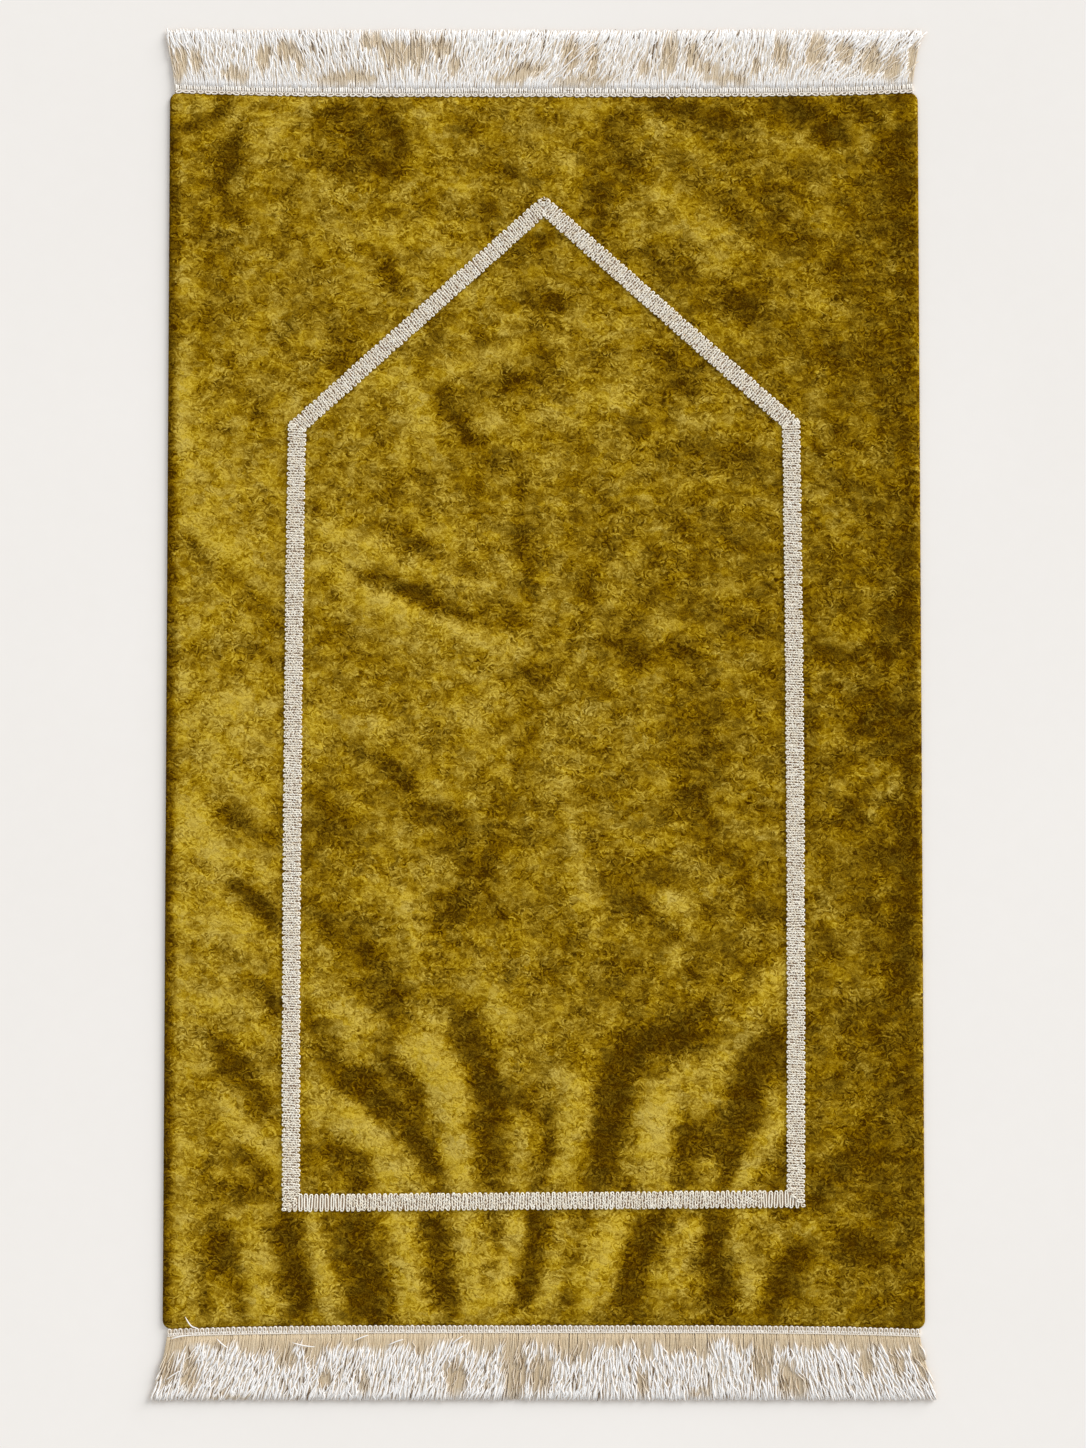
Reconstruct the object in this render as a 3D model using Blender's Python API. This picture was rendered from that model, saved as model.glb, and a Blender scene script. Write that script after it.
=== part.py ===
"""A crushed-velvet prayer rug that lies flat, with a braided niche and a fringe at each end.

Units are metres. X runs across the rug, Y runs along it with the niche pointing to +Y,
and Z is up. The origin is on the floor, under the middle of the whole rug.
Each piece that a maker cuts or sews on is one object: the velvet, the braid, and the
looped trim with its cut fringe at the head and at the foot.
"""

from collections import namedtuple
from math import exp, hypot, pi
from random import Random

import bmesh
import bpy
from mathutils import Vector

# The velvet
WIDTH = 0.680
CLOTH = 0.0040                  # backing and pile together
HEAD_END = 0.5571               # where the velvet stops, on the middle line
FOOT_END = -0.5506
HEAD_FLARE = 0.0040             # how far the corners reach past the middle of an end
FOOT_FLARE = 0.0035
CORNER_RADIUS = 0.0085
COLUMNS = 52
ROWS = 60
EDGE_STEPS = (0.0, 0.0025, 0.0060, 0.0130)   # the closer grid lines along each edge
ROLL = 0.0060                   # how far in from the edge the pile starts to turn down
ROLL_DROP = 0.0018              # and how far it has dropped at the edge
HEM_RINGS = ((0.0004, 0.0008), (0.0014, 0.0))   # inset and height of the rings under the edge

# The braid of the niche
BRAID_WIDTH = 0.0152
BRAID_HEIGHT = 0.0016
BRAID_REST = 0.022              # folds are pressed flat this near to the middle of the braid
BRAID_RISE = 0.020              # and rise to their height over this much more

# The fringes
SEAM_GAP = 0.0003               # between one piece and the next
RUG_HALF_LENGTH = 0.6150        # to the tips of the longest strands
HEADING_HALF = 0.3355
HEADING_HEIGHT = 0.0020
HEAD_HEADING_DEPTH = 0.0100
FOOT_HEADING_DEPTH = 0.0115
STRANDS = 130                   # in each fringe
HEAD_FAN_REACH = 0.0080         # how far the outermost strands lean outwards
FOOT_FAN_REACH = 0.0160
FAN_EVEN = 0.25                 # the share of that lean which grows evenly from the middle
STRAND_BEND = 1.3               # above 1, a strand leaves its root straight and leans later
TIP_SWAY = 0.0006               # how far a strand's tip wanders from its neighbours'
TIP_SHORT = 0.0030              # how much shorter the shortest strand is
Step = namedtuple("Step", "part width height")
STRAND_STEPS = (                # the size of a strand along its length
    Step(0.25, 0.0043, 0.0022),
    Step(0.60, 0.0042, 0.0020),
    Step(1.00, 0.0033, 0.0013),
)

Corner = namedtuple("Corner", "name x y")
NICHE = (
    Corner("point", 0.0000, 0.4563),
    Corner("right shoulder", 0.2234, 0.2575),
    Corner("right side", 0.2255, -0.0700),
    Corner("right foot", 0.2248, -0.4383),
    Corner("left foot", -0.2257, -0.4418),
    Corner("left side", -0.2257, -0.0700),
    Corner("left shoulder", -0.2231, 0.2548),
)

# Each fold is a soft ridge that runs from its start through its middle to its end.
Fold = namedtuple("Fold", "name x0 y0 x1 y1 x2 y2 width height")
FOLDS = (
    Fold("foot 1", -0.252, -0.443, -0.255, -0.492, -0.249, -0.548, 0.013, 0.0022),
    Fold("foot 2", -0.213, -0.452, -0.200, -0.492, -0.192, -0.548, 0.012, 0.0022),
    Fold("foot 3", -0.130, -0.443, -0.118, -0.483, -0.105, -0.548, 0.013, 0.0026),
    Fold("foot 4", -0.068, -0.443, -0.060, -0.487, -0.050, -0.548, 0.014, 0.0026),
    Fold("foot 5", 0.061, -0.450, 0.048, -0.494, 0.028, -0.548, 0.019, 0.0028),
    Fold("foot 6", 0.130, -0.448, 0.118, -0.494, 0.101, -0.548, 0.014, 0.0026),
    Fold("foot 7", 0.203, -0.450, 0.185, -0.494, 0.176, -0.548, 0.014, 0.0022),
    Fold("foot 8", 0.262, -0.400, 0.252, -0.474, 0.240, -0.540, 0.017, 0.0018),
    Fold("niche 1", -0.218, -0.349, -0.163, -0.370, -0.121, -0.432, 0.012, 0.0024),
    Fold("niche 2", -0.109, -0.294, -0.079, -0.351, -0.066, -0.435, 0.014, 0.0028),
    Fold("niche 3", -0.023, -0.345, -0.020, -0.386, -0.023, -0.430, 0.010, 0.0020),
    Fold("niche 4", 0.020, -0.310, 0.029, -0.369, 0.025, -0.430, 0.012, 0.0024),
    Fold("niche 5", 0.205, -0.254, 0.111, -0.323, 0.090, -0.430, 0.016, 0.0030),
    Fold("niche 6", 0.218, -0.340, 0.197, -0.386, 0.166, -0.430, 0.013, 0.0020),
    Fold("side 1", -0.310, -0.245, -0.218, -0.271, -0.115, -0.316, 0.014, 0.0020),
    Fold("side 2", -0.188, -0.160, -0.125, -0.180, -0.109, -0.245, 0.016, 0.0020),
    Fold("side 3", -0.080, -0.220, -0.039, -0.249, -0.026, -0.316, 0.016, 0.0018),
    Fold("side 4", -0.313, -0.185, -0.281, -0.205, -0.241, -0.232, 0.012, 0.0014),
    Fold("side 5", -0.305, 0.010, -0.278, -0.031, -0.282, -0.090, 0.020, 0.0016),
    Fold("side 6", -0.315, 0.176, -0.279, 0.149, -0.234, 0.118, 0.013, 0.0018),
    Fold("middle 1", -0.202, 0.160, -0.130, 0.127, -0.031, 0.102, 0.012, 0.0020),
    Fold("middle 2", -0.211, 0.115, -0.112, 0.075, -0.004, 0.041, 0.012, 0.0020),
    Fold("middle 3", -0.211, -0.006, -0.157, -0.017, -0.111, -0.053, 0.014, 0.0016),
    Fold("middle 4", 0.004, -0.022, 0.022, -0.129, 0.050, -0.232, 0.015, 0.0014),
    Fold("arch 1", -0.130, 0.297, -0.031, 0.311, 0.073, 0.357, 0.013, 0.0018),
    Fold("arch 2", 0.076, 0.340, 0.071, 0.299, 0.051, 0.250, 0.015, 0.0014),
    Fold("head 1", -0.236, 0.547, -0.260, 0.514, -0.267, 0.464, 0.014, 0.0014),
    Fold("head 2", -0.085, 0.551, -0.131, 0.496, -0.222, 0.455, 0.016, 0.0018),
    Fold("head 3", 0.133, 0.547, 0.178, 0.519, 0.205, 0.478, 0.016, 0.0016),
    Fold("head 4", 0.087, 0.455, 0.142, 0.427, 0.196, 0.413, 0.016, 0.0014),
)
FOLD_STEPS = 8                  # straight runs that a fold's line is measured along
FOLD_FADE = 0.25                # the part of a fold's line over which each end dies out
FOLD_STUB = 0.35                # how far up that fade the very ends already are

# Colours and finish, as linear values
OLIVE = (0.252, 0.153, 0.012)
CREAM = (0.600, 0.530, 0.410)
IVORY = (0.680, 0.630, 0.560)


def clear_scene():
    for item in list(bpy.data.objects):
        bpy.data.objects.remove(item, do_unlink=True)


def cloth_material(name, colour, roughness, sheen):
    material = bpy.data.materials.new(name)
    material.use_nodes = True
    shader = material.node_tree.nodes["Principled BSDF"]
    shader.inputs["Base Color"].default_value = (*colour, 1.0)
    shader.inputs["Roughness"].default_value = roughness
    shader.inputs["Metallic"].default_value = 0.0
    shader.inputs["Sheen Weight"].default_value = sheen
    return material


def add_object(name, bm, material):
    bmesh.ops.recalc_face_normals(bm, faces=bm.faces)
    mesh = bpy.data.meshes.new(name)
    bm.to_mesh(mesh)
    bm.free()
    mesh.materials.append(material)
    mesh.shade_smooth()
    mesh.set_sharp_from_angle(angle=pi / 5)
    item = bpy.data.objects.new(name, mesh)
    bpy.context.collection.objects.link(item)
    return item


def smooth_step(value):
    value = min(max(value, 0.0), 1.0)
    return value * value * (3.0 - 2.0 * value)


def nearest_on_run(x, y, start, end):
    """The distance from a point to a straight run, and how far along the run it is met."""
    run_x = end[0] - start[0]
    run_y = end[1] - start[1]
    along = ((x - start[0]) * run_x + (y - start[1]) * run_y) / (run_x ** 2 + run_y ** 2)
    along = min(max(along, 0.0), 1.0)
    return hypot(x - start[0] - along * run_x, y - start[1] - along * run_y), along


def fold_line(fold):
    """The points of one curve through the fold's start, middle and end."""
    pull_x = 2.0 * fold.x1 - 0.5 * (fold.x0 + fold.x2)
    pull_y = 2.0 * fold.y1 - 0.5 * (fold.y0 + fold.y2)
    points = []
    for step in range(FOLD_STEPS + 1):
        part = step / FOLD_STEPS
        start, middle, end = (1.0 - part) ** 2, 2.0 * part * (1.0 - part), part ** 2
        points.append((start * fold.x0 + middle * pull_x + end * fold.x2,
                       start * fold.y0 + middle * pull_y + end * fold.y2))
    return points


FOLD_LINES = [(fold, fold_line(fold)) for fold in FOLDS]


def distance_to_braid(x, y):
    corners = [(corner.x, corner.y) for corner in NICHE]
    runs = zip(corners, corners[1:] + corners[:1])
    return min(nearest_on_run(x, y, start, end)[0] for start, end in runs)


def fold_height(x, y):
    """How far the folds lift the top of the cloth at one place."""
    lift = 0.0
    for fold, line in FOLD_LINES:
        near, along = min(
            (distance, (step + part) / FOLD_STEPS)
            for step in range(FOLD_STEPS)
            for distance, part in [nearest_on_run(x, y, line[step], line[step + 1])]
        )
        fade = smooth_step(min(along, 1.0 - along) / FOLD_FADE + FOLD_STUB)
        lift = max(lift, fold.height * fade * exp(-(near / fold.width) ** 2))
    return lift * smooth_step((distance_to_braid(x, y) - BRAID_REST) / BRAID_RISE)


def edge_lines(count, half):
    """Places of grid lines from -half to half, closer together along both edges."""
    close = [half - step for step in EDGE_STEPS]
    inner = count - 2 * (len(close) - 1)
    middle = [close[-1] * (2.0 * line / inner - 1.0) for line in range(1, inner)]
    return [-place for place in close] + middle + close[::-1]


def end_line(x, end, flare):
    """The Y of the velvet's end: nearly straight, with corners that reach a little further."""
    reach = flare if end > 0.0 else -flare
    return end + reach * min(abs(x) / (0.5 * WIDTH), 1.0) ** 4


def rounded_corner(x, y, half_x, half_y):
    """Draws a point of the square corner in onto the rounded one."""
    over_x = abs(x) - (half_x - CORNER_RADIUS)
    over_y = abs(y) - (half_y - CORNER_RADIUS)
    if over_x <= 0.0 or over_y <= 0.0:
        return x, y
    scale = max(over_x, over_y) / hypot(over_x, over_y)
    new_x = (half_x - CORNER_RADIUS + over_x * scale) * (1.0 if x > 0.0 else -1.0)
    new_y = (half_y - CORNER_RADIUS + over_y * scale) * (1.0 if y > 0.0 else -1.0)
    return new_x, new_y


def top_height(x, y, inset):
    """The top of the pile: flat, lifted by the folds, and rolled down at the edges."""
    roll = max(0.0, 1.0 - inset / ROLL)
    drop = ROLL_DROP * (1.0 - (1.0 - roll ** 2) ** 0.5)
    edge_calm = smooth_step(inset / (2.0 * ROLL))
    return CLOTH - drop + fold_height(x, y) * edge_calm


def make_velvet():
    """A sheet from a grid: its top follows the folds, its edge rolls over, its back is flat."""
    half_x = 0.5 * WIDTH
    half_y = 0.5 * (HEAD_END - FOOT_END)
    middle_y = 0.5 * (HEAD_END + FOOT_END)
    x_lines = edge_lines(COLUMNS, half_x)
    y_lines = edge_lines(ROWS, half_y)
    bm = bmesh.new()
    bmesh.ops.create_grid(bm, x_segments=COLUMNS, y_segments=ROWS, size=1.0)
    for vert in bm.verts:
        flat_x = x_lines[round((vert.co.x + 1.0) * 0.5 * COLUMNS)]
        flat_y = y_lines[round((vert.co.y + 1.0) * 0.5 * ROWS)]
        inset = min(half_x - abs(flat_x), half_y - abs(flat_y))
        flat_x, flat_y = rounded_corner(flat_x, flat_y, half_x, half_y)
        share = (flat_y + half_y) / (2.0 * half_y)
        foot = end_line(flat_x, FOOT_END, FOOT_FLARE)
        head = end_line(flat_x, HEAD_END, HEAD_FLARE)
        y = foot + share * (head - foot)
        vert.co = (flat_x, y, top_height(flat_x, y, inset))
    rim = [edge for edge in bm.edges if edge.is_boundary]
    for inset, height in HEM_RINGS:
        ring = bmesh.ops.extrude_edge_only(bm, edges=rim)["geom"]
        for vert in [item for item in ring if isinstance(item, bmesh.types.BMVert)]:
            vert.co.x -= inset if vert.co.x > 0.0 else -inset
            vert.co.y -= inset if vert.co.y > middle_y else -inset
            vert.co.z = height
        rim = [item for item in ring if isinstance(item, bmesh.types.BMEdge) and item.is_boundary]
    back = bmesh.ops.contextual_create(bm, geom=rim)["faces"]
    bmesh.ops.poke(bm, faces=back)
    return add_object("velvet_cloth", bm, cloth_material("olive velvet", OLIVE, 0.75, 0.6))


def mitre_points(side):
    """The corners of the niche, moved half the braid's width to one side of its middle line."""
    corners = [Vector((corner.x, corner.y)) for corner in NICHE]
    moved = []
    for index, corner in enumerate(corners):
        arriving = (corner - corners[index - 1]).normalized()
        leaving = (corners[(index + 1) % len(corners)] - corner).normalized()
        across = Vector((arriving.y, -arriving.x)) + Vector((leaving.y, -leaving.x))
        across.normalize()
        half = 0.5 * BRAID_WIDTH / across.dot(Vector((arriving.y, -arriving.x)))
        moved.append(corner + across * half * side)
    return moved


def make_braid():
    """One length of braid laid flat as the niche, folded to a mitre at each corner."""
    base = CLOTH + SEAM_GAP
    bm = bmesh.new()
    outer = [bm.verts.new((*point, base)) for point in mitre_points(1.0)]
    inner = [bm.verts.new((*point, base)) for point in mitre_points(-1.0)]
    runs = []
    for index in range(len(outer)):
        following = (index + 1) % len(outer)
        runs.append(bm.faces.new((outer[index], outer[following], inner[following], inner[index])))
    raised = bmesh.ops.extrude_face_region(bm, geom=runs, use_keep_orig=True)["geom"]
    top = [item for item in raised if isinstance(item, bmesh.types.BMVert)]
    bmesh.ops.translate(bm, verts=top, vec=(0.0, 0.0, BRAID_HEIGHT))
    return add_object("niche_braid", bm, cloth_material("cream braid", CREAM, 0.6, 0.2))


def strand_tip(root_x, fan, rng):
    """Where a strand ends: fanned out near the corners, a little uneven between them."""
    part = root_x / HEADING_HALF
    lean = fan * (FAN_EVEN * part + (1.0 - FAN_EVEN) * part ** 5)
    sway = TIP_SWAY * rng.uniform(-1.0, 1.0)
    short = TIP_SHORT * rng.random() ** 2
    if abs(part) > 1.0 - 2.0 / STRANDS:
        sway = short = 0.0
    return root_x + lean + sway, RUG_HALF_LENGTH - short


def make_fringe(name, end, flare, depth, fan, seed):
    """A narrow woven strip along one end, whose outer face is drawn out into strands."""
    side = 1.0 if end > 0.0 else -1.0
    rng = Random(seed)
    bm = bmesh.new()
    bmesh.ops.create_grid(bm, x_segments=STRANDS, y_segments=1, size=1.0)
    for vert in bm.verts:
        outward = depth if vert.co.y > 0.0 else 0.0
        x = vert.co.x * HEADING_HALF
        vert.co = (x, end_line(x, end, flare) + side * (SEAM_GAP + outward), 0.0)
    strip = bmesh.ops.extrude_face_region(bm, geom=bm.faces[:], use_keep_orig=True)["geom"]
    top = [item for item in strip if isinstance(item, bmesh.types.BMVert)]
    bmesh.ops.translate(bm, verts=top, vec=(0.0, 0.0, HEADING_HEIGHT))
    bmesh.ops.recalc_face_normals(bm, faces=bm.faces)
    roots = [face for face in bm.faces if face.normal.y * side > 0.9]
    roots.sort(key=lambda face: face.calc_center_median().x)
    starts = [face.calc_center_median() for face in roots]
    tips = [strand_tip(start.x, fan, rng) for start in starts]
    for part, width, height in STRAND_STEPS:
        roots = bmesh.ops.extrude_discrete_faces(bm, faces=roots)["faces"]
        roots.sort(key=lambda face: face.calc_center_median().x)
        for face, start, tip in zip(roots, starts, tips):
            middle_x = start.x + (tip[0] - start.x) * part ** STRAND_BEND
            middle_y = start.y + (tip[1] * side - start.y) * part
            was = face.calc_center_median()
            for vert in face.verts:
                across = 1.0 if vert.co.x > was.x else -1.0
                above = height if vert.co.z > was.z else 0.0
                vert.co = (middle_x + across * 0.5 * width, middle_y, above)
    return add_object(name, bm, cloth_material("ivory yarn", IVORY, 0.4, 0.2))


def main():
    clear_scene()
    make_velvet()
    make_braid()
    make_fringe("head_fringe", HEAD_END, HEAD_FLARE, HEAD_HEADING_DEPTH, HEAD_FAN_REACH, 11)
    make_fringe("foot_fringe", FOOT_END, FOOT_FLARE, FOOT_HEADING_DEPTH, FOOT_FAN_REACH, 23)


main()
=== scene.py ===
# %% [markdown]
# # A crushed-velvet prayer rug
#
# The rug is a thin sheet of olive velvet with a cream braid sewn on it as a pointed niche, and a
# looped trim with cut rayon fringe along each short end. It lies on a pale floor, seen from above.
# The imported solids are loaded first. They fix every size and place, and each soft piece made here
# stands in for one of them.

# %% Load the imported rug
from collections import namedtuple
from math import cos, pi, radians, sin, tau

import bmesh
import bpy
import numpy as np
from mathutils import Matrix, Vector, noise
from mathutils.bvhtree import BVHTree


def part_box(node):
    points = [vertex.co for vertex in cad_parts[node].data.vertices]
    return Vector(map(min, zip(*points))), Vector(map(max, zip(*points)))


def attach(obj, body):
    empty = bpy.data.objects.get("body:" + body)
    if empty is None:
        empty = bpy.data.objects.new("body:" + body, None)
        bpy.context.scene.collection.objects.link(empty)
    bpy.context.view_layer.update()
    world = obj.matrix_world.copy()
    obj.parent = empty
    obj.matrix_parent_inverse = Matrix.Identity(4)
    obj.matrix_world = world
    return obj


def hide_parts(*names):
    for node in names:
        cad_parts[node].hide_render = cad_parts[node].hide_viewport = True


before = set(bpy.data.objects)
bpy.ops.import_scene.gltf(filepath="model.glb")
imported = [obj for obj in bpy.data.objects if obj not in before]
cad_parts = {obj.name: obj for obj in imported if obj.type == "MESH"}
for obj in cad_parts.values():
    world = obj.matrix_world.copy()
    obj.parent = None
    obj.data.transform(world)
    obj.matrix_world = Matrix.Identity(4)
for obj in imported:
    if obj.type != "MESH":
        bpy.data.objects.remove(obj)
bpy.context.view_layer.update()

print("packed solids:", sorted(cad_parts))

# %% [markdown]
# ## The camera
#
# The rug was photographed from nearly straight above, and its far end is a little narrower than
# its near end. The tilt and the distance of a camera are what give that narrowing, so they are set
# from it, and the lens is then chosen so that the rug fills the same share of the frame.

# %% Place the camera
LOOK_AT = Vector((-0.0008, -0.0139, 0.004))
CAMERA_DISTANCE = 2.5
CAMERA_TILT = radians(2.52)
CAMERA_LENS = 69.1


def add_object(name, data):
    """Puts a mesh, a lamp or a camera in the scene, at the origin."""
    made = bpy.data.objects.new(name, data)
    bpy.context.scene.collection.objects.link(made)
    return made


camera = add_object("camera", bpy.data.cameras.new("camera"))
camera.data.lens = CAMERA_LENS
camera.location = LOOK_AT + CAMERA_DISTANCE * Vector((0, -sin(CAMERA_TILT), cos(CAMERA_TILT)))
camera.rotation_euler = (CAMERA_TILT, 0, 0)
bpy.context.scene.camera = camera
print("camera at", tuple(round(c, 3) for c in camera.location))

# %% [markdown]
# ## Helpers for materials
#
# A material in Blender is a tree of nodes. Building trees by hand takes many lines, so small
# helpers add a node, a sum, a noise or a blend. A helper's input is either a plain value or
# another node's output, which is then linked. The last helper finishes a material: it links the
# colour and the fine relief, and sets how dull, how glossy and how downy the surface is.

# %% Define the material helpers
BUMP_STRENGTH = 0.4


def add_node(tree, kind, inputs=(), **settings):
    """Adds one node. The inputs map an input's name or number to a value or to an output."""
    made = tree.nodes.new(kind)
    for name, value in settings.items():
        setattr(made, name, value)
    for name, value in dict(inputs).items():
        if isinstance(value, bpy.types.NodeSocket):
            tree.links.new(value, made.inputs[name])
        else:
            made.inputs[name].default_value = value
    return made


def calc(tree, operation, *values, clamp=False):
    """One step of arithmetic on numbers or outputs."""
    made = add_node(tree, "ShaderNodeMath", enumerate(values), operation=operation, use_clamp=clamp)
    return made.outputs[0]


def mul_add(tree, value, times, plus, clamp=False):
    """The value times one number, plus another."""
    return calc(tree, "MULTIPLY_ADD", value, times, plus, clamp=clamp)


def on_vectors(tree, operation, *values, output=0):
    """One step of arithmetic on vectors."""
    made = add_node(tree, "ShaderNodeVectorMath", enumerate(values), operation=operation)
    return made.outputs[output]


def stretched(tree, place, scale):
    """The place, squeezed, so that a pattern on it comes out long in one direction."""
    made = add_node(tree, "ShaderNodeMapping", {"Vector": place, "Scale": scale}, vector_type="TEXTURE")
    return made.outputs[0]


def soft_noise(tree, place, scale, detail=2, rough=0.5):
    """A cloudy pattern from about -1 to 1 around zero."""
    made = add_node(tree, "ShaderNodeTexNoise",
                    {"Vector": place, "Scale": scale, "Detail": detail, "Roughness": rough})
    return mul_add(tree, made.outputs[0], 4, -2)


def bent(tree, place, scale, reach):
    """The place, pushed about by a noise, so that a pattern on it comes out in swirls."""
    push = add_node(tree, "ShaderNodeTexNoise", {"Vector": place, "Scale": scale, "Detail": 2})
    push = on_vectors(tree, "SUBTRACT", push.outputs["Color"], (0.5, 0.5, 0.5))
    return on_vectors(tree, "MULTIPLY_ADD", push, (reach, reach, reach), place)


def smooth_rise(tree, value, low, high, start=0):
    """A smooth rise from `start` to 1 as the value goes from low to high."""
    made = add_node(tree, "ShaderNodeMapRange", {"Value": value, "From Min": low, "From Max": high,
                                                "To Min": start}, interpolation_type="SMOOTHSTEP")
    return made.outputs[0]


def crisp(tree, pattern, width):
    """The pattern with its edges sharpened: it runs from -1 to 1 within this width of zero."""
    return smooth_rise(tree, pattern, -width, width, -1)


def colour_ramp(tree, factor, stops):
    """Colours along a scale from 0 to 1; each stop is a place and a linear colour."""
    made = add_node(tree, "ShaderNodeValToRGB", {"Fac": factor})
    bar = made.color_ramp.elements
    while len(bar) < len(stops):
        bar.new(0.5)
    for element, (place, colour) in zip(bar, stops):
        element.position = place
        element.color = (*colour, 1)
    return made.outputs[0]


def blend(tree, factor, *colours):
    """A colour between two colours, each a linear colour or an output."""
    first, second = [(*colour, 1) if isinstance(colour, tuple) else colour for colour in colours]
    made = add_node(tree, "ShaderNodeMix", {0: factor, 6: first, 7: second}, data_type="RGBA")
    return made.outputs[2]


def mark(tree, name):
    """A number that the mesh itself carries, point by point."""
    return add_node(tree, "ShaderNodeAttribute", attribute_name=name).outputs["Fac"]


def new_material(name):
    """An empty material, with its tree and its object coordinates."""
    material = bpy.data.materials.new(name)
    material.use_nodes = True
    tree = material.node_tree
    return material, tree, add_node(tree, "ShaderNodeTexCoord").outputs["Object"]


def finish(material, colour, rough, specular=0.5, sheen=0, relief=None, depth=0, **more):
    """Sets the shader, where a name in `more` stands for an input such as Sheen Tint."""
    tree = material.node_tree
    shader = tree.nodes["Principled BSDF"]
    tree.links.new(colour, shader.inputs["Base Color"])
    if relief is not None:
        bump = add_node(tree, "ShaderNodeBump",
                        {"Height": relief, "Strength": BUMP_STRENGTH, "Distance": depth})
        tree.links.new(bump.outputs[0], shader.inputs["Normal"])
    shader.inputs["Roughness"].default_value = rough
    shader.inputs["Specular IOR Level"].default_value = specular
    shader.inputs["Sheen Weight"].default_value = sheen
    for name, value in more.items():
        shader.inputs[name.replace("_", " ").title()].default_value = value
    return material


print("material helpers are ready")

# %% [markdown]
# ## Floor and light
#
# The floor is a warm white board with a barely visible mottle. A low soft sun from the upper right
# draws the narrow shadow left of the rug and below it, and a bright pale sky fills everything
# else. A sun is used because a lamp near the rug would light one end more than the other.

# %% Make the floor and the light
FLOOR_HALF = 4.0
FLOOR_DROP = 0.0002             # keeps the floor just under the rug's own flat back
FLOOR_PALE = (0.883, 0.862, 0.838)
FLOOR_DEEP = (0.853, 0.83, 0.803)
SUN_FROM = Vector((0.68, 0.6, 0.35))
SUN_STRENGTH = 3.1
SUN_SPREAD = radians(36)
SKY_COLOUR = (1, 0.99, 0.975)
SKY_STRENGTH = 0.66


def bmesh_object(bm, name):
    """Turns a bmesh into an object of the scene."""
    mesh = bpy.data.meshes.new(name)
    bm.to_mesh(mesh)
    bm.free()
    return add_object(name, mesh)


def floor_material():
    material, tree, place = new_material("pale_board")
    cloud = soft_noise(tree, place, 3, 3)
    grain = soft_noise(tree, place, 60, 4)
    shade = mul_add(tree, mul_add(tree, grain, 0.5, cloud), 0.3, 0.5, clamp=True)
    return finish(material, blend(tree, shade, FLOOR_DEEP, FLOOR_PALE), 0.9, 0.1)


def make_floor():
    bm = bmesh.new()
    bmesh.ops.create_grid(bm, x_segments=1, y_segments=1, size=FLOOR_HALF)
    bmesh.ops.translate(bm, verts=bm.verts, vec=(0, 0, -FLOOR_DROP))
    floor = bmesh_object(bm, "floor")
    floor.data.materials.append(floor_material())


def make_light():
    sun = add_object("sun", bpy.data.lights.new("sun", "SUN"))
    sun.data.energy = SUN_STRENGTH
    sun.data.angle = SUN_SPREAD
    sun.rotation_mode = "QUATERNION"
    sun.rotation_quaternion = SUN_FROM.to_track_quat("Z", "Y")
    world = bpy.data.worlds.new("sky")
    world.use_nodes = True
    sky = world.node_tree.nodes["Background"]
    sky.inputs["Color"].default_value = (*SKY_COLOUR, 1)
    sky.inputs["Strength"].default_value = SKY_STRENGTH
    bpy.context.scene.world = world
    bpy.context.scene.view_settings.view_transform = "Standard"


make_floor()
make_light()
print("floor", 2 * FLOOR_HALF, "m wide; sun spread", round(SUN_SPREAD, 3))

# %% [markdown]
# ## The outline of the velvet
#
# The velvet was cut as one rectangle and its edges turned under. Its ends bow in slightly, because
# the corners were pulled out as the trim was sewn. Two formulas give the end lines and the rounded
# corners, and everything at the ends is placed from them.

# %% Describe the outline
HALF_WIDTH = 0.34
HEAD_END = 0.5571               # where the velvet stops, on the middle line
FOOT_END = -0.5506
HEAD_FLARE = 0.004              # how far the corners reach past the middle of an end
FOOT_FLARE = 0.0035
CORNER_RADIUS = 0.0085
SEAM_GAP = 0.0003
PILE_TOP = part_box("niche_braid")[0].z - SEAM_GAP


def smooth_step(value):
    value = np.clip(value, 0, 1)
    return value * value * (3 - 2 * value)


def end_line(x, side):
    """The Y of the velvet's end: nearly straight, with corners that reach a little further."""
    end, flare = (HEAD_END, HEAD_FLARE) if side > 0 else (FOOT_END, FOOT_FLARE)
    return end + side * flare * np.minimum(np.abs(x) / HALF_WIDTH, 1) ** 4


print("velvet", 2 * HALF_WIDTH, "by", round(HEAD_END - FOOT_END, 4), "m; pile top at", round(PILE_TOP, 4))

# %% [markdown]
# ## Where the braid runs
#
# The braid starts at the point of the niche and goes round clockwise in five straight runs. Later
# pieces need places beside its middle line, so each run is kept as a start, a direction and a
# direction across. Where two runs meet, the braid is folded to a mitre: `start_slope` and
# `end_slope` say how far the mitre line moves along the run for each metre across it.

# %% Describe the niche
NICHE = (                       # the point, and then the corners clockwise
    (0, 0.4563),
    (0.2234, 0.2575),
    (0.2248, -0.4383),
    (-0.2257, -0.4418),
    (-0.2231, 0.2548),
)
SIDE_BOW = 0.0016               # how far the long sides bow out, as sewn
SIDE_RUNS = (1, 3)              # the long sides, which also lie on top at both of their ends
Run = namedtuple("Run", "start ahead across length start_slope end_slope bow")


def niche_runs():
    corners = np.array(NICHE)
    steps = np.roll(corners, -1, 0) - corners
    lengths = np.linalg.norm(steps, axis=1)
    ahead = steps / lengths[:, None]
    across = np.stack([-ahead[:, 1], ahead[:, 0]], axis=1)          # points out of the niche
    runs = []
    for i in range(len(corners)):
        slopes = []
        for j in (i, (i + 1) % len(corners)):
            mitre = across[j - 1] + across[j]
            slopes.append(mitre @ ahead[i] / (mitre @ across[i]))
        bow = SIDE_BOW if i in SIDE_RUNS else 0
        runs.append(Run(corners[i], ahead[i], across[i], lengths[i], *slopes, bow))
    return runs


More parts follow.
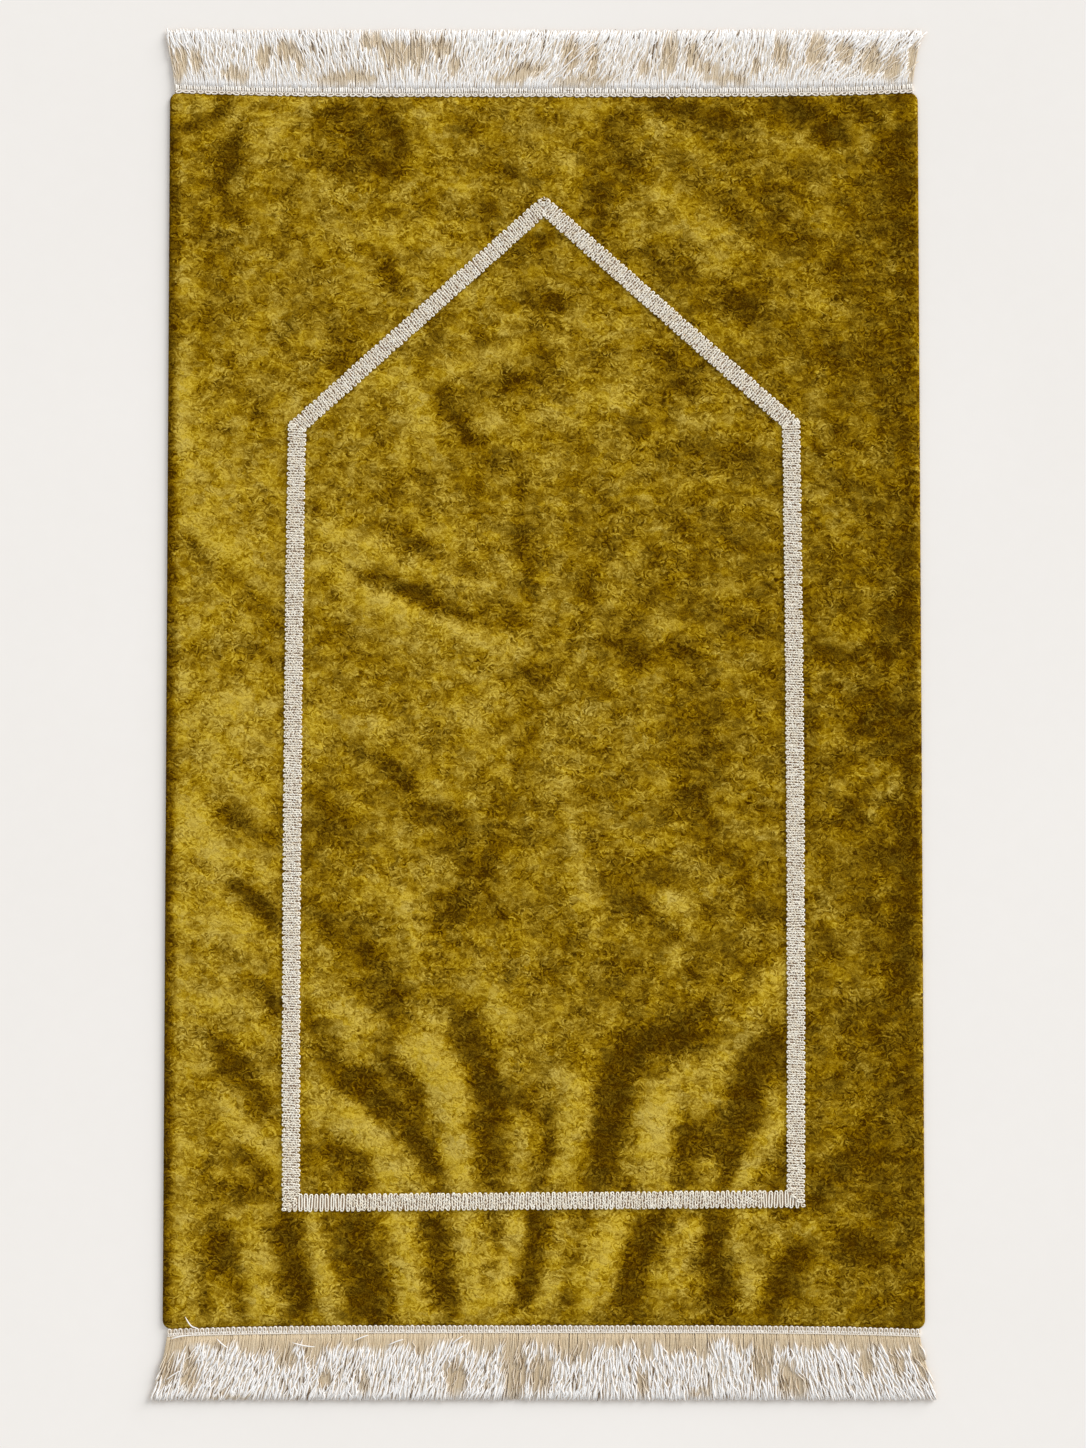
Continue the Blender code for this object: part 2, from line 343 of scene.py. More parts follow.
RUNS = niche_runs()


def on_run(run, along, out):
    """World X and Y of places given along a run and out from its middle line."""
    share = np.clip(along / run.length, 0, 1)
    out = out + run.bow * 4 * share * (1 - share)
    return [run.start[k] + along * run.ahead[k] + out * run.across[k] for k in (0, 1)]


def distance_to_braid(x, y):
    """How far places are from the braid's middle line."""
    nearest = np.inf
    for run in RUNS:
        along = (x - run.start[0]) * run.ahead[0] + (y - run.start[1]) * run.ahead[1]
        here_x, here_y = on_run(run, np.clip(along, 0, run.length), 0)
        nearest = np.minimum(nearest, np.hypot(x - here_x, y - here_y))
    return nearest


print("braid", round(sum(run.length for run in RUNS), 3), "m in", len(RUNS), "runs")

# %% [markdown]
# ## The lie of the pile
#
# Crushed velvet is light where its pile leans towards the viewer and dark where it leans away or
# lies in a trough. Here that light and shade is painted into the colour as soft strokes: fans of
# creases above and below the foot of the niche, long drag lines across the left side, and patches
# at the head. Each stroke is a curve from one place to another, with a width and a tone, dark for
# painted shade or light for painted sheen. They were placed one by one, because no noise pattern
# would put the creases where this rug has them. To keep the table short, it is in whole
# millimetres, with the tone in hundredths.

# %% Place the strokes
# Each row: x and y of the start, the middle and the end, then the width and the tone.
STROKE_ROWS = (
    # painted shade along the rolled left margin
    (-334,535,-335,8,-334,-545,5,-70),
    # the foot of the left side
    (-319,-450,-317,-495,-315,-545,8,35), (-291,-468,-289,-488,-286,-508,13,-95),
    (-306,-512,-305,-527,-304,-542,5,-55), (-272,-516,-270,-530,-268,-545,5,-55),
    (-291,-514,-289,-527,-288,-540,8,30), (-262,-452,-254,-495,-249,-545,12,55),
    (-230,-455,-224,-498,-214,-543,14,-95), (-210,-450,-201,-490,-190,-545,9,70),
    (-180,-456,-164,-495,-152,-542,19,-100), (-130,-450,-123,-495,-117,-545,12,85),
    (-205,-352,-204,-366,-203,-380,7,40), (-190,-362,-152,-388,-124,-431,14,80),
    (-168,-334,-132,-362,-104,-395,15,-75), (-196,-394,-176,-399,-154,-408,9,-95),
    (-176,-412,-169,-421,-161,-431,9,-80), (-213,-388,-209,-396,-206,-404,7,-50),
    (-287,-360,-262,-384,-240,-403,9,45), (-272,-400,-258,-410,-244,-426,8,-65),
    (-272,-426,-268,-436,-264,-446,14,-30), (-319,-385,-318,-412,-317,-440,9,20),
    (-258,-452,-252,-461,-246,-470,10,-35), (-291,-290,-286,-307,-278,-326,11,-85),
    (-276,-316,-262,-336,-247,-362,9,-85), (-264,-163,-253,-181,-243,-201,8,-65),
    (-292,-215,-284,-219,-277,-223,6,-50), (-266,-236,-253,-248,-239,-261,8,-50),
    (-247,-262,-243,-268,-239,-274,7,-70), (-304,-260,-279,-264,-258,-277,9,40),
    (-268,-283,-256,-290,-244,-298,8,45), (-304,-184,-272,-194,-256,-212,10,35),
    (-296,-342,-284,-349,-273,-356,8,45), (-166,-208,-149,-238,-134,-273,18,-75),
    (-213,-170,-201,-190,-188,-212,8,-55), (-209,-248,-185,-270,-154,-301,14,55),
    (-130,-168,-117,-205,-113,-250,9,40), (-197,-311,-171,-334,-140,-362,10,-80),
    (-143,-313,-126,-329,-108,-350,9,-80), (-122,-300,-108,-318,-97,-342,13,90),
    (-153,-316,-144,-325,-136,-334,6,30), (-213,-272,-204,-296,-199,-318,8,-45),
    (-211,-333,-204,-343,-198,-352,7,30),
    # the foot of the middle
    (-98,-452,-94,-490,-83,-537,13,-95), (-68,-450,-68,-492,-61,-545,13,75),
    (-42,-450,-43,-464,-43,-477,8,-65), (-25,-450,-30,-490,-41,-532,11,70),
    (-4,-450,-8,-487,-20,-527,10,-95), (16,-455,10,-492,1,-542,10,55), (40,-451,39,-459,38,-466,5,-35),
    (60,-452,50,-490,35,-532,17,90), (22,-514,22,-525,22,-536,7,-65), (101,-450,85,-487,69,-536,14,-90),
    (131,-455,118,-492,108,-528,14,60), (116,-531,120,-532,124,-533,5,-40),
    (-110,-392,-99,-413,-88,-431,9,-90), (-86,-352,-81,-392,-71,-431,15,80),
    (-50,-352,-46,-385,-48,-418,16,-90), (-18,-368,-22,-400,-21,-431,10,55), (2,-362,4,-390,-4,-422,8,-80),
    (28,-352,25,-385,14,-427,14,65), (62,-350,55,-388,50,-428,13,-100), (107,-352,100,-388,97,-428,19,75),
    (129,-370,125,-400,122,-427,10,-70), (-100,-288,-94,-315,-80,-350,12,80),
    (-76,-275,-60,-312,-45,-348,13,-90), (-44,-266,-36,-298,-33,-325,11,45),
    (-35,-348,-18,-352,0,-356,9,-40), (8,-322,26,-338,31,-358,12,50), (62,-350,66,-330,80,-308,15,-100),
    (72,-304,100,-293,132,-302,12,-85), (96,-357,112,-337,138,-322,14,55), (58,-234,64,-244,70,-254,10,-50),
    (120,-214,117,-224,115,-234,9,50), (104,-170,115,-178,126,-186,12,55), (24,-165,32,-173,40,-181,9,35),
    (46,-198,44,-207,42,-216,6,35), (-86,-181,-79,-183,-71,-186,8,-50), (-46,-184,-37,-188,-29,-191,8,-45),
    (-66,-236,-42,-255,-40,-275,14,30), (-100,-170,-94,-185,-88,-200,10,-30),
    (74,-168,83,-175,92,-182,10,-30), (108,-198,115,-202,122,-206,9,-30), (-10,-275,2,-274,14,-272,7,30),
    # the foot of the right side
    (157,-449,152,-490,157,-536,13,-90), (167,-449,176,-488,187,-522,10,60),
    (188,-452,200,-462,212,-472,12,35), (191,-500,184,-519,178,-538,8,30),
    (233,-479,216,-508,200,-541,11,-80), (264,-484,282,-487,299,-493,12,-80),
    (236,-508,252,-515,268,-522,15,20), (234,-462,240,-469,246,-476,9,25),
    (288,-444,280,-451,272,-458,12,20), (151,-398,146,-413,142,-429,6,35),
    (167,-396,164,-412,160,-429,7,-60), (188,-350,171,-374,146,-392,16,-65),
    (214,-356,197,-392,169,-429,10,80), (214,-408,209,-419,204,-430,8,-40),
    (294,-386,280,-403,260,-413,13,-55), (247,-428,243,-435,239,-442,7,-60),
    (145,-201,151,-199,157,-197,6,35), (128,-233,133,-230,137,-226,6,-35),
    (104,-298,126,-285,150,-267,13,-75), (209,-232,197,-266,176,-291,14,65),
    (163,-306,156,-333,136,-362,14,55), (205,-290,191,-318,172,-354,14,-90),
    (202,-354,199,-345,195,-336,7,20), (248,-190,261,-193,273,-195,8,35), (252,-203,255,-215,258,-227,7,-50),
    (268,-219,280,-224,292,-229,8,20), (289,-203,292,-210,296,-217,5,-35),
    (318,-194,320,-226,323,-258,12,-45), (283,-250,292,-254,302,-257,7,30),
    (254,-252,263,-254,271,-256,6,20), (234,-239,242,-241,251,-244,6,-40), (282,-279,285,-280,289,-281,4,40),
    (283,-294,302,-297,322,-301,9,-30), (283,-179,292,-182,302,-186,8,-30),
    (232,-280,236,-288,240,-296,7,-30),
    # the middle from side to side
    (-322,-80,-312,-104,-299,-126,13,45), (-282,11,-260,2,-246,-12,12,45),
    (-293,-60,-272,-69,-252,-81,14,45), (-290,-90,-268,-104,-241,-120,8,-85),
    (-287,-154,-264,-170,-240,-187,8,-75), (-302,-127,-272,-134,-253,-147,10,45),
    (-312,-150,-300,-158,-288,-166,10,30), (-322,36,-296,45,-276,30,16,-25), (-274,63,-257,52,-241,40,8,-50),
    (-277,99,-257,86,-240,72,8,-45), (-263,30,-254,29,-245,28,6,30), (-302,-57,-293,-53,-284,-50,6,-20),
    (-156,98,-108,80,-60,62,9,65), (-60,62,-40,57,-12,52,9,35), (-118,104,-86,88,-26,76,9,-65),
    (-191,79,-182,76,-174,73,6,-50), (-22,34,-15,29,-8,24,6,-75), (-152,1,-138,-1,-123,-3,6,-40),
    (-213,-12,-180,-11,-146,-24,9,40), (-213,-22,-209,-35,-205,-48,8,40), (-140,-48,-129,-60,-119,-76,8,-75),
    (-112,-54,-99,-70,-88,-82,8,45), (-76,-74,-67,-81,-58,-87,8,30), (-117,-89,-96,-98,-72,-106,9,-65),
    (-78,-114,-70,-133,-48,-146,15,-60), (-72,-158,-77,-173,-82,-188,10,-35),
    (-57,-150,-50,-166,-42,-182,9,-30), (-198,-120,-205,-128,-213,-136,6,-40),
    (-197,-98,-188,-104,-178,-111,7,-40), (-202,-149,-193,-147,-184,-145,6,-30),
    (-162,-103,-143,-109,-124,-115,9,25), (-167,-148,-152,-158,-138,-167,12,35),
    (-36,-122,-33,-137,-30,-152,7,30), (-62,-18,-46,-42,-28,-62,8,20), (-62,-83,-50,-89,-38,-96,7,-30),
    (-16,-108,-10,-115,-4,-121,6,-40), (-172,-46,-163,-43,-153,-40,6,-30), (-2,27,4,31,10,35,7,-50),
    (-2,96,10,91,22,87,8,30), (92,72,113,71,134,70,9,40), (38,61,78,53,94,46,6,-60),
    (113,62,128,51,140,43,6,-60), (54,30,86,25,102,35,8,30), (158,76,165,42,186,17,13,30),
    (82,78,89,87,96,97,8,-35), (178,79,185,75,192,71,6,-35), (0,-9,9,-13,18,-16,9,-35),
    (188,6,198,3,207,-1,8,35), (120,-4,146,-17,156,-38,12,-30), (13,-59,25,-64,37,-69,9,35),
    (88,-77,108,-67,116,-53,8,30), (120,-66,136,-86,150,-110,14,-50), (163,-97,184,-110,207,-99,9,35),
    (188,-58,197,-66,206,-74,9,30), (20,-84,30,-128,32,-178,8,40), (118,-128,128,-135,138,-141,10,35),
    (108,-158,119,-172,130,-186,11,35), (58,-143,66,-163,74,-182,12,-30),
    (163,-128,175,-140,188,-152,12,-20), (178,-168,190,-177,202,-186,8,-40), (250,51,260,49,270,47,8,-75),
    (304,57,308,50,313,43,7,-75), (316,81,324,77,332,74,7,-50), (293,59,283,64,274,69,7,30),
    (244,13,246,20,249,27,6,35), (272,10,304,-5,322,-32,20,-35), (239,-6,241,-13,244,-21,6,-40),
    (244,-27,251,-30,257,-34,6,40), (237,-48,246,-61,239,-77,8,-40), (299,-54,316,-62,305,-77,9,40),
    (273,-91,281,-95,288,-99,7,-75), (323,-98,328,-140,326,-186,13,-45), (254,-119,263,-122,272,-126,9,20),
    (298,95,315,92,331,90,9,-25),
    # the upper half of the niche and its sides
    (-322,151,-288,121,-247,92,8,-70), (-324,172,-302,152,-278,139,11,40),
    (-286,292,-269,276,-252,260,8,-40), (-312,256,-300,253,-288,249,9,-25),
    (-326,361,-313,353,-300,345,8,-30), (-286,371,-273,365,-260,359,8,-30),
    (-302,200,-290,195,-278,189,12,20), (-256,206,-251,198,-245,189,7,-25),
    (-326,320,-327,265,-322,205,9,30), (-187,342,-176,325,-187,307,10,-75),
    (-226,364,-215,357,-204,350,8,-25), (-142,306,-118,284,-112,250,17,50), (-100,302,-62,313,-20,332,9,60),
    (-40,346,-27,351,-14,356,12,30), (-92,293,-81,263,-50,237,10,-85), (-64,301,-56,297,-48,294,6,-50),
    (-38,289,-20,300,3,297,9,-65), (-63,259,-36,252,-10,261,11,45), (-110,322,-101,329,-92,335,10,-30),
    (-63,339,-57,334,-51,329,6,-55), (-117,217,-111,210,-104,203,7,-80), (-87,226,-81,220,-74,214,6,-55),
    (-51,227,-46,222,-41,216,7,-50), (-143,199,-139,196,-134,192,5,-50), (-163,191,-158,189,-153,186,6,-40),
    (-72,196,-63,193,-54,189,8,-40), (-21,206,-18,197,-14,188,7,-50), (-191,269,-190,260,-188,250,6,-30),
    (-151,251,-149,242,-148,234,6,-30), (-150,167,-124,154,-93,139,9,-70), (-168,121,-136,112,-98,96,6,-80),
    (-208,166,-160,148,-104,125,9,55), (-184,110,-152,98,-120,88,8,45), (-24,166,-18,136,-14,103,9,-55),
    (-77,131,-68,125,-59,119,9,-35), (-66,113,-54,108,-43,104,8,30), (-1,369,9,367,19,366,9,-85),
    (14,353,50,345,82,340,16,35), (100,326,120,312,142,303,10,-50), (120,297,129,290,137,284,6,-75),
    (38,281,58,278,78,274,12,30), (128,263,148,259,168,254,10,40), (30,256,41,253,52,249,8,20),
    (75,263,81,254,86,244,7,-35), (118,241,150,235,192,224,9,-35), (0,322,5,311,10,300,9,-50),
    (-2,276,7,270,17,264,9,40), (143,206,152,203,162,199,7,30), (8,187,15,180,22,174,7,35),
    (98,165,106,164,114,162,6,45), (58,180,72,177,86,175,8,-25), (95,147,101,138,106,129,6,-45),
    (163,162,172,153,182,144,7,-30), (29,112,35,105,40,98,8,-50), (123,151,130,142,136,134,7,30),
    (44,131,57,128,70,125,8,25), (166,373,179,364,194,354,12,-80), (202,373,240,366,275,358,9,35),
    (160,346,178,335,196,324,8,25), (224,326,270,320,326,322,12,-40), (298,301,310,290,322,279,9,-30),
    (238,281,252,277,266,272,7,25), (238,254,246,256,255,258,6,30), (261,257,266,251,271,244,7,-65),
    (244,239,247,235,251,231,4,-60), (243,186,264,176,284,169,12,30), (320,131,323,119,326,108,8,-40),
    # the head
    (-322,557,-318,551,-314,545,5,-40), (-329,527,-308,532,-288,553,7,-75),
    (-312,519,-291,529,-268,549,7,35), (-279,524,-283,506,-291,482,10,-90),
    (-291,480,-290,469,-289,458,7,-45), (-282,447,-274,444,-266,440,6,-40),
    (-262,532,-262,520,-262,508,9,30), (-252,503,-238,532,-220,549,8,35), (-233,529,-227,532,-221,536,6,-40),
    (-207,533,-192,540,-176,546,8,-85), (-152,547,-139,530,-129,503,10,-95),
    (-182,532,-168,519,-158,502,11,-65), (-162,496,-145,490,-128,485,9,-60),
    (-197,499,-188,494,-178,489,9,-30), (-263,470,-240,468,-222,461,8,-40),
    (-204,471,-196,468,-188,464,8,30), (-322,441,-310,432,-324,425,7,-50),
    (-246,430,-240,421,-234,413,7,-45), (-204,441,-170,430,-128,431,12,30),
    (-192,401,-178,393,-164,384,10,25), (-146,403,-138,391,-131,380,8,-70),
    (-292,391,-288,385,-284,379,7,-30), (-104,456,-70,450,-44,455,9,-35), (-122,546,-100,535,-84,548,12,40),
    (-118,508,-119,494,-120,480,7,30), (-82,531,-70,525,-59,519,9,-35), (-52,509,-43,504,-34,499,7,-45),
    (-36,491,-30,487,-24,484,8,-65), (-22,501,-14,498,-6,495,8,35), (-82,388,-73,382,-64,375,8,35),
    (-28,405,-12,422,2,416,9,-55), (-15,371,-10,365,-5,359,7,-40), (9,511,22,496,14,479,10,45),
    (18,551,25,545,32,539,9,30), (62,541,65,516,80,489,11,-55), (42,497,45,494,49,492,5,-60),
    (50,476,52,460,56,443,10,-65), (99,553,140,541,188,529,10,-70), (98,526,124,520,141,504,9,30),
    (203,521,234,511,264,499,9,45), (221,555,244,536,267,521,12,-95), (250,550,272,536,300,508,7,30),
    (277,554,292,539,310,524,7,-65), (288,556,305,546,322,534,6,35), (308,501,323,481,317,463,12,-80),
    (326,527,328,516,329,506,8,-40), (96,468,114,457,130,446,13,45), (158,461,172,454,187,441,7,-45),
    (203,457,210,450,217,443,8,-55), (143,433,164,421,150,403,16,65), (98,414,105,404,112,394,9,-45),
    (129,402,135,393,141,384,7,-45), (196,399,211,396,226,392,7,25), (214,428,258,412,276,384,14,-40),
    (238,379,245,373,252,367,8,35), (298,441,315,435,332,430,10,-30),
    # broad tones, where the whole cloth lies lighter or darker
    (-300,250,-298,90,-300,-50,48,22), (-300,-60,-296,-160,-294,-250,42,14), (-120,290,-90,120,-60,0,60,14),
    (28,283,58,290,88,312,20,35), (-4,226,5,223,14,219,9,40), (72,220,78,195,84,170,18,22),
    (304,450,306,100,304,-60,26,-16), (300,-150,304,-320,300,-470,26,-22),
    (-312,500,-296,455,-306,400,26,-30), (-215,505,-190,498,-165,492,20,-25),
    (-235,400,-223,390,-210,380,16,-20), (38,548,50,546,62,545,12,35), (-108,450,-100,425,-92,400,24,22),
    (-75,478,-69,469,-62,460,16,25), (74,446,83,433,92,420,14,35), (248,455,252,427,256,400,11,35),
    (-62,8,-61,-15,-60,-38,22,28), (-215,125,-193,123,-170,122,16,30), (-288,120,-275,105,-262,90,12,25),
    (-52,88,-44,83,-36,78,9,30), (-84,162,-80,156,-76,150,8,35), (-135,135,-117,132,-98,128,6,-30),
    (140,110,130,85,120,60,40,-12), (132,-28,144,-38,156,-48,14,-25), (-205,-90,-185,-110,-165,-130,26,-28),
    (-45,-110,-37,-117,-30,-125,12,-35), (-165,-300,-150,-300,-135,-300,12,-30),
    (108,-150,102,-158,96,-165,9,-40), (190,-222,193,-227,196,-232,12,-40),
    (-210,-512,-207,-520,-204,-528,10,-35), (-148,-495,-145,-507,-142,-520,9,-35),
    (-270,-440,-285,-430,-300,-420,22,-20), (130,-462,139,-468,148,-474,10,30),
)
STROKES = np.array(STROKE_ROWS) / ((1000,) * 7 + (100,))
STROKE_STEPS = 8                # straight pieces that a stroke's line is measured along
STROKE_REACH = 3                # widths from its line beyond which a stroke is nothing
STROKE_FADE = 0.2               # the tone is half at an end, and full at half this share in


def near_line(x, y, line):
    """How far places are from a line of points, and the share of it at which each lies."""
    nearest = np.full(x.shape, np.inf)
    share = np.zeros(x.shape)
    for i, ((from_x, from_y), (run_x, run_y)) in enumerate(zip(line, np.diff(line, axis=0))):
        along = ((x - from_x) * run_x + (y - from_y) * run_y) / (run_x ** 2 + run_y ** 2)
        along = np.clip(along, 0, 1)
        distance = np.hypot(x - from_x - along * run_x, y - from_y - along * run_y)
        closer = distance < nearest
        nearest[closer] = distance[closer]
        share[closer] = (i + along[closer]) / STROKE_STEPS
    return nearest, share


def stroke_tone(x, y):
    """The sum of all strokes at each place."""
    tone = np.zeros(x.shape)
    part = np.linspace(0, 1, STROKE_STEPS + 1)[:, None]
    for *places, width, strength in STROKES:
        start, middle, stop = np.reshape(places, (3, 2))
        bend = 2 * middle - start - stop
        line = start + (stop - start) * part + 2 * part * (1 - part) * bend
        ends_and_middle = line[::STROKE_STEPS // 2]
        low = ends_and_middle.min(0) - STROKE_REACH * width
        high = ends_and_middle.max(0) + STROKE_REACH * width
        here = (x > low[0]) & (x < high[0]) & (y > low[1]) & (y < high[1])
        nearest, share = near_line(x[here], y[here], line)
        fade = smooth_step(np.minimum(share, 1 - share) / STROKE_FADE + 0.5)
        tone[here] += strength * fade * np.exp(-(nearest / width) ** 2)
    return tone


print(len(STROKES), "strokes")

# %% [markdown]
# ## The height of the velvet
#
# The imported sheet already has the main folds, as coarse facets. Its top is read with downward
# rays on an even grid, and a blur then takes the facets away, so that this sheet follows the same
# folds smoothly. The strokes add shallow troughs and ridges, and the braid presses a groove.

# %% Work out the height
SAMPLE_STEP = 0.006             # between rays
SAMPLE_BLUR = 1.2               # in steps
SAMPLE_INSET = 0.015            # the rolled edge isn't sampled
BLUR_REACH = 3                  # in steps
STROKE_RELIEF = 0.0007          # the height that a stroke of tone 1 adds
EDGE_CALM = 0.012               # how far in from the edge the folds reach their full height
BRAID_PRESS = 0.0006
BRAID_PRESS_REACH = 0.012
BRAID_GROOVE = 0.006            # the groove is full up to this far from the middle line
BRAID_CALM = 0.009              # and the strokes add no height up to this far from it
WRINKLE = 0.00022               # the fine unevenness of crushed pile


def slow_noise(x, y, seed):
    """Blender's own noise, once for each place."""
    x, y = np.broadcast_arrays(x, y)
    return np.array([noise.noise(Vector((*place, seed))) for place in zip(x.flat, y.flat)]).reshape(x.shape)


def sample_top():
    """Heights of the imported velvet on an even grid, with the facets blurred away."""
    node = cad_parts["velvet_cloth"].data
    tree = BVHTree.FromPolygons([vert.co for vert in node.vertices],
                                [face.vertices for face in node.polygons])
    xs = np.arange(-HALF_WIDTH + SAMPLE_INSET, HALF_WIDTH - SAMPLE_INSET, SAMPLE_STEP)
    ys = np.arange(FOOT_END + SAMPLE_INSET, HEAD_END - SAMPLE_INSET, SAMPLE_STEP)
    tops = np.array([[tree.ray_cast(Vector((x, y, 1)), Vector((0, 0, -1)))[0].z for x in xs] for y in ys])
    weights = np.exp(-0.5 * (np.arange(-BLUR_REACH, BLUR_REACH + 1) / SAMPLE_BLUR) ** 2)
    weights /= weights.sum()
    for axis in (0, 1):
        size = tops.shape[axis]
        near = [np.clip(np.arange(size) + step, 0, size - 1) for step in range(-BLUR_REACH, BLUR_REACH + 1)]
        tops = sum(weight * np.take(tops, places, axis) for weight, places in zip(weights, near))
    return xs, ys, tops


TOP_X, TOP_Y, TOPS = sample_top()


def folded_height(x, y):
    """The blurred height at any place, between the four samples around it."""
    step_x = np.clip((x - TOP_X[0]) / SAMPLE_STEP, 0, len(TOP_X) - 1.001)
    step_y = np.clip((y - TOP_Y[0]) / SAMPLE_STEP, 0, len(TOP_Y) - 1.001)
    column, row = step_x.astype(int), step_y.astype(int)
    part_x, part_y = step_x - column, step_y - row
    low, high = [TOPS[line, column] * (1 - part_x) + TOPS[line, column + 1] * part_x
                 for line in (row, row + 1)]
    return low * (1 - part_y) + high * part_y


def top_height(x, y, inset, tone):
    """The top of the pile, before it rolls down at the edges."""
    calm = smooth_step(inset / EDGE_CALM)
    braid = distance_to_braid(x, y)
    free = smooth_step((braid - BRAID_CALM) / BRAID_PRESS_REACH)
    groove = BRAID_PRESS * (1 - smooth_step((braid - BRAID_GROOVE) / BRAID_PRESS_REACH))
    wrinkle = WRINKLE * (slow_noise(x * 70, y * 120, 1) + 0.6 * slow_noise(x * 160, y * 220, 2))
    lift = (folded_height(x, y) - PILE_TOP) + STROKE_RELIEF * tone * free + wrinkle
    return PILE_TOP + lift * calm - groove


print("folds lift the pile up to", round(float(TOPS.max() - PILE_TOP) * 1000, 1), "mm")

# %% [markdown]
# ## The velvet sheet
#
# A grid is bent into the outline, its rows and columns drawn closer along the edges, where the
# pile rolls over. The rim is then extruded down and under, and the back is closed flat. The grid
# carries one number for each point: how light or dark the pile is painted there, from its lie and
# from the painted shade and sheen of its creases and rims.

# %% Make the velvet sheet
COLUMNS = 216
ROWS = 350
EDGE_STEPS = (0, 0.0012, 0.0026, 0.0042, 0.0062, 0.009)
ROLL = 0.006                    # how far in from the edge the pile starts to turn down
ROLL_DROP = 0.0018
HEM_RINGS = ((0.0004, 0.0008), (0.0014, 0))     # inset and height of the rings under the edge
NAP_WARP = 0.0028               # how far the strokes' outlines wander
NAP_DRIFT = -0.55               # the pile leans darker towards the right, for each metre
RIM_REACH = 0.0065
# painted shade on the left rim, which rolls away from the sun, and a faint painted highlight on the right
RIM_PAINTED_LIGHT = (-0.75, 0.1)        # left and right
BAND_TONES = (0.22, -0.28)      # a lit band inside the left rim, and a dim one inside the right
BAND_INSET = 0.013
BAND_WIDTH = 0.008


def edge_lines(count, half):
    """Places of grid lines from -half to half, closer together along both edges."""
    close = [half - step for step in EDGE_STEPS]
    inner = count - 2 * (len(close) - 1)
    middle = [close[-1] * (2 * line / inner - 1) for line in range(1, inner)]
    return np.array([-place for place in close] + middle + close[::-1])


def sheet_places(unit):
    """Bends the places of a unit grid into the velvet's outline. Also gives the inset."""
    halves = np.array((HALF_WIDTH, 0.5 * (HEAD_END - FOOT_END)))
    flat = np.stack([edge_lines(count, half)[np.rint((unit[:, axis] + 1) * 0.5 * count).astype(int)]
                     for axis, (count, half) in enumerate(zip((COLUMNS, ROWS), halves))])
    inset = (halves[:, None] - np.abs(flat)).min(0)
    inner = halves[:, None] - CORNER_RADIUS
    over = np.abs(flat) - inner
    scale = over.max(0) / np.maximum(np.hypot(*over), 1e-9)
    flat_x, flat_y = np.where((over > 0).all(0), np.sign(flat) * (inner + over * scale), flat)
    share = (flat_y + halves[1]) / (2 * halves[1])
    return flat_x, end_line(flat_x, -1) * (1 - share) + end_line(flat_x, 1) * share, inset


def nap_and_shade_of(x, y):
    """The tone of the strokes at each place, and in all how light or dark the pile is painted there, with
    painted shade and sheen.
    """
    warp_x, warp_y = [NAP_WARP * slow_noise(x * 38, y * 60, seed) for seed in (7, 9)]
    tone = stroke_tone(x + warp_x, y + warp_y)
    beside = HALF_WIDTH - np.abs(x)
    # painted shade along the left rim and a faint painted highlight along the right
    rim = np.where(x < 0, *RIM_PAINTED_LIGHT) * (1 - smooth_step(beside / RIM_REACH))
    band = np.where(x < 0, *BAND_TONES) * np.exp(-((beside - BAND_INSET) / BAND_WIDTH) ** 2)
    return tone, tone + NAP_DRIFT * x + rim + band


def make_velvet():
    bm = bmesh.new()
    bmesh.ops.create_grid(bm, x_segments=COLUMNS, y_segments=ROWS, size=1)
    bm.verts.ensure_lookup_table()
    x, y, inset = sheet_places(np.array([vert.co for vert in bm.verts]))
    tone, nap_and_shade = nap_and_shade_of(x, y)
    roll = np.maximum(0, 1 - inset / ROLL)
    z = top_height(x, y, inset, tone) - ROLL_DROP * (1 - np.sqrt(1 - roll ** 2))
    layer = bm.verts.layers.float.new("nap_and_shade")
    for vert, place, value in zip(bm.verts, np.stack([x, y, z], axis=1).tolist(), nap_and_shade.tolist()):
        vert.co = place
        vert[layer] = value
    rim = [edge for edge in bm.edges if edge.is_boundary]
    middle_y = 0.5 * (HEAD_END + FOOT_END)
    for inset, height in HEM_RINGS:
        ring = bmesh.ops.extrude_edge_only(bm, edges=rim)["geom"]
        for vert in [item for item in ring if isinstance(item, bmesh.types.BMVert)]:
            vert.co.x -= inset if vert.co.x > 0 else -inset
            vert.co.y -= inset if vert.co.y > middle_y else -inset
            vert.co.z = height
        rim = [item for item in ring if isinstance(item, bmesh.types.BMEdge) and item.is_boundary]
    back = bmesh.ops.contextual_create(bm, geom=rim)["faces"]
    for face in bmesh.ops.poke(bm, faces=back)["faces"]:
        face.material_index = 1
    bmesh.ops.recalc_face_normals(bm, faces=bm.faces)
    sheet = bmesh_object(bm, "velvet_sheet")
    sheet.data.shade_smooth()
    return sheet


velvet = make_velvet()
print("velvet sheet:", len(velvet.data.polygons), "faces")

# %% [markdown]
# ## The crushed pile
#
# The colour follows the lie of the pile, with its light and shade painted in: near black-brown as
# painted shade in the troughs, amber and olive in between, and straw gold or pale khaki as painted
# sheen where the pile faces the light. On the real cloth the pile was pressed wet in small tufts
# that all lie another way. Voronoi cells with pushed-about borders are those tufts: each has a tone
# and a hue of its own, and its hairs are arcs round a centre a little way off, so they curl. Patches
# and flecks of noise lie under them. The painted lie of the pile is sharpened together with the
# patches and hairs, which gives every crease a feathered edge.

# %% Draw the tufts and their hairs
TUFT_SCALE = 120
TUFT_WIDTH = 1.2                # how much longer a tuft is across the rug than along it
HAIR_SPACING = 0.0036
HAIR_CENTRE = 0.012             # how far the centre of the arcs may lie from the tuft's own
CRACK_SCALE = 80
CRACK_LENGTH = 2.4
CRACK_WIDTH = 0.06              # as a share of the spacing


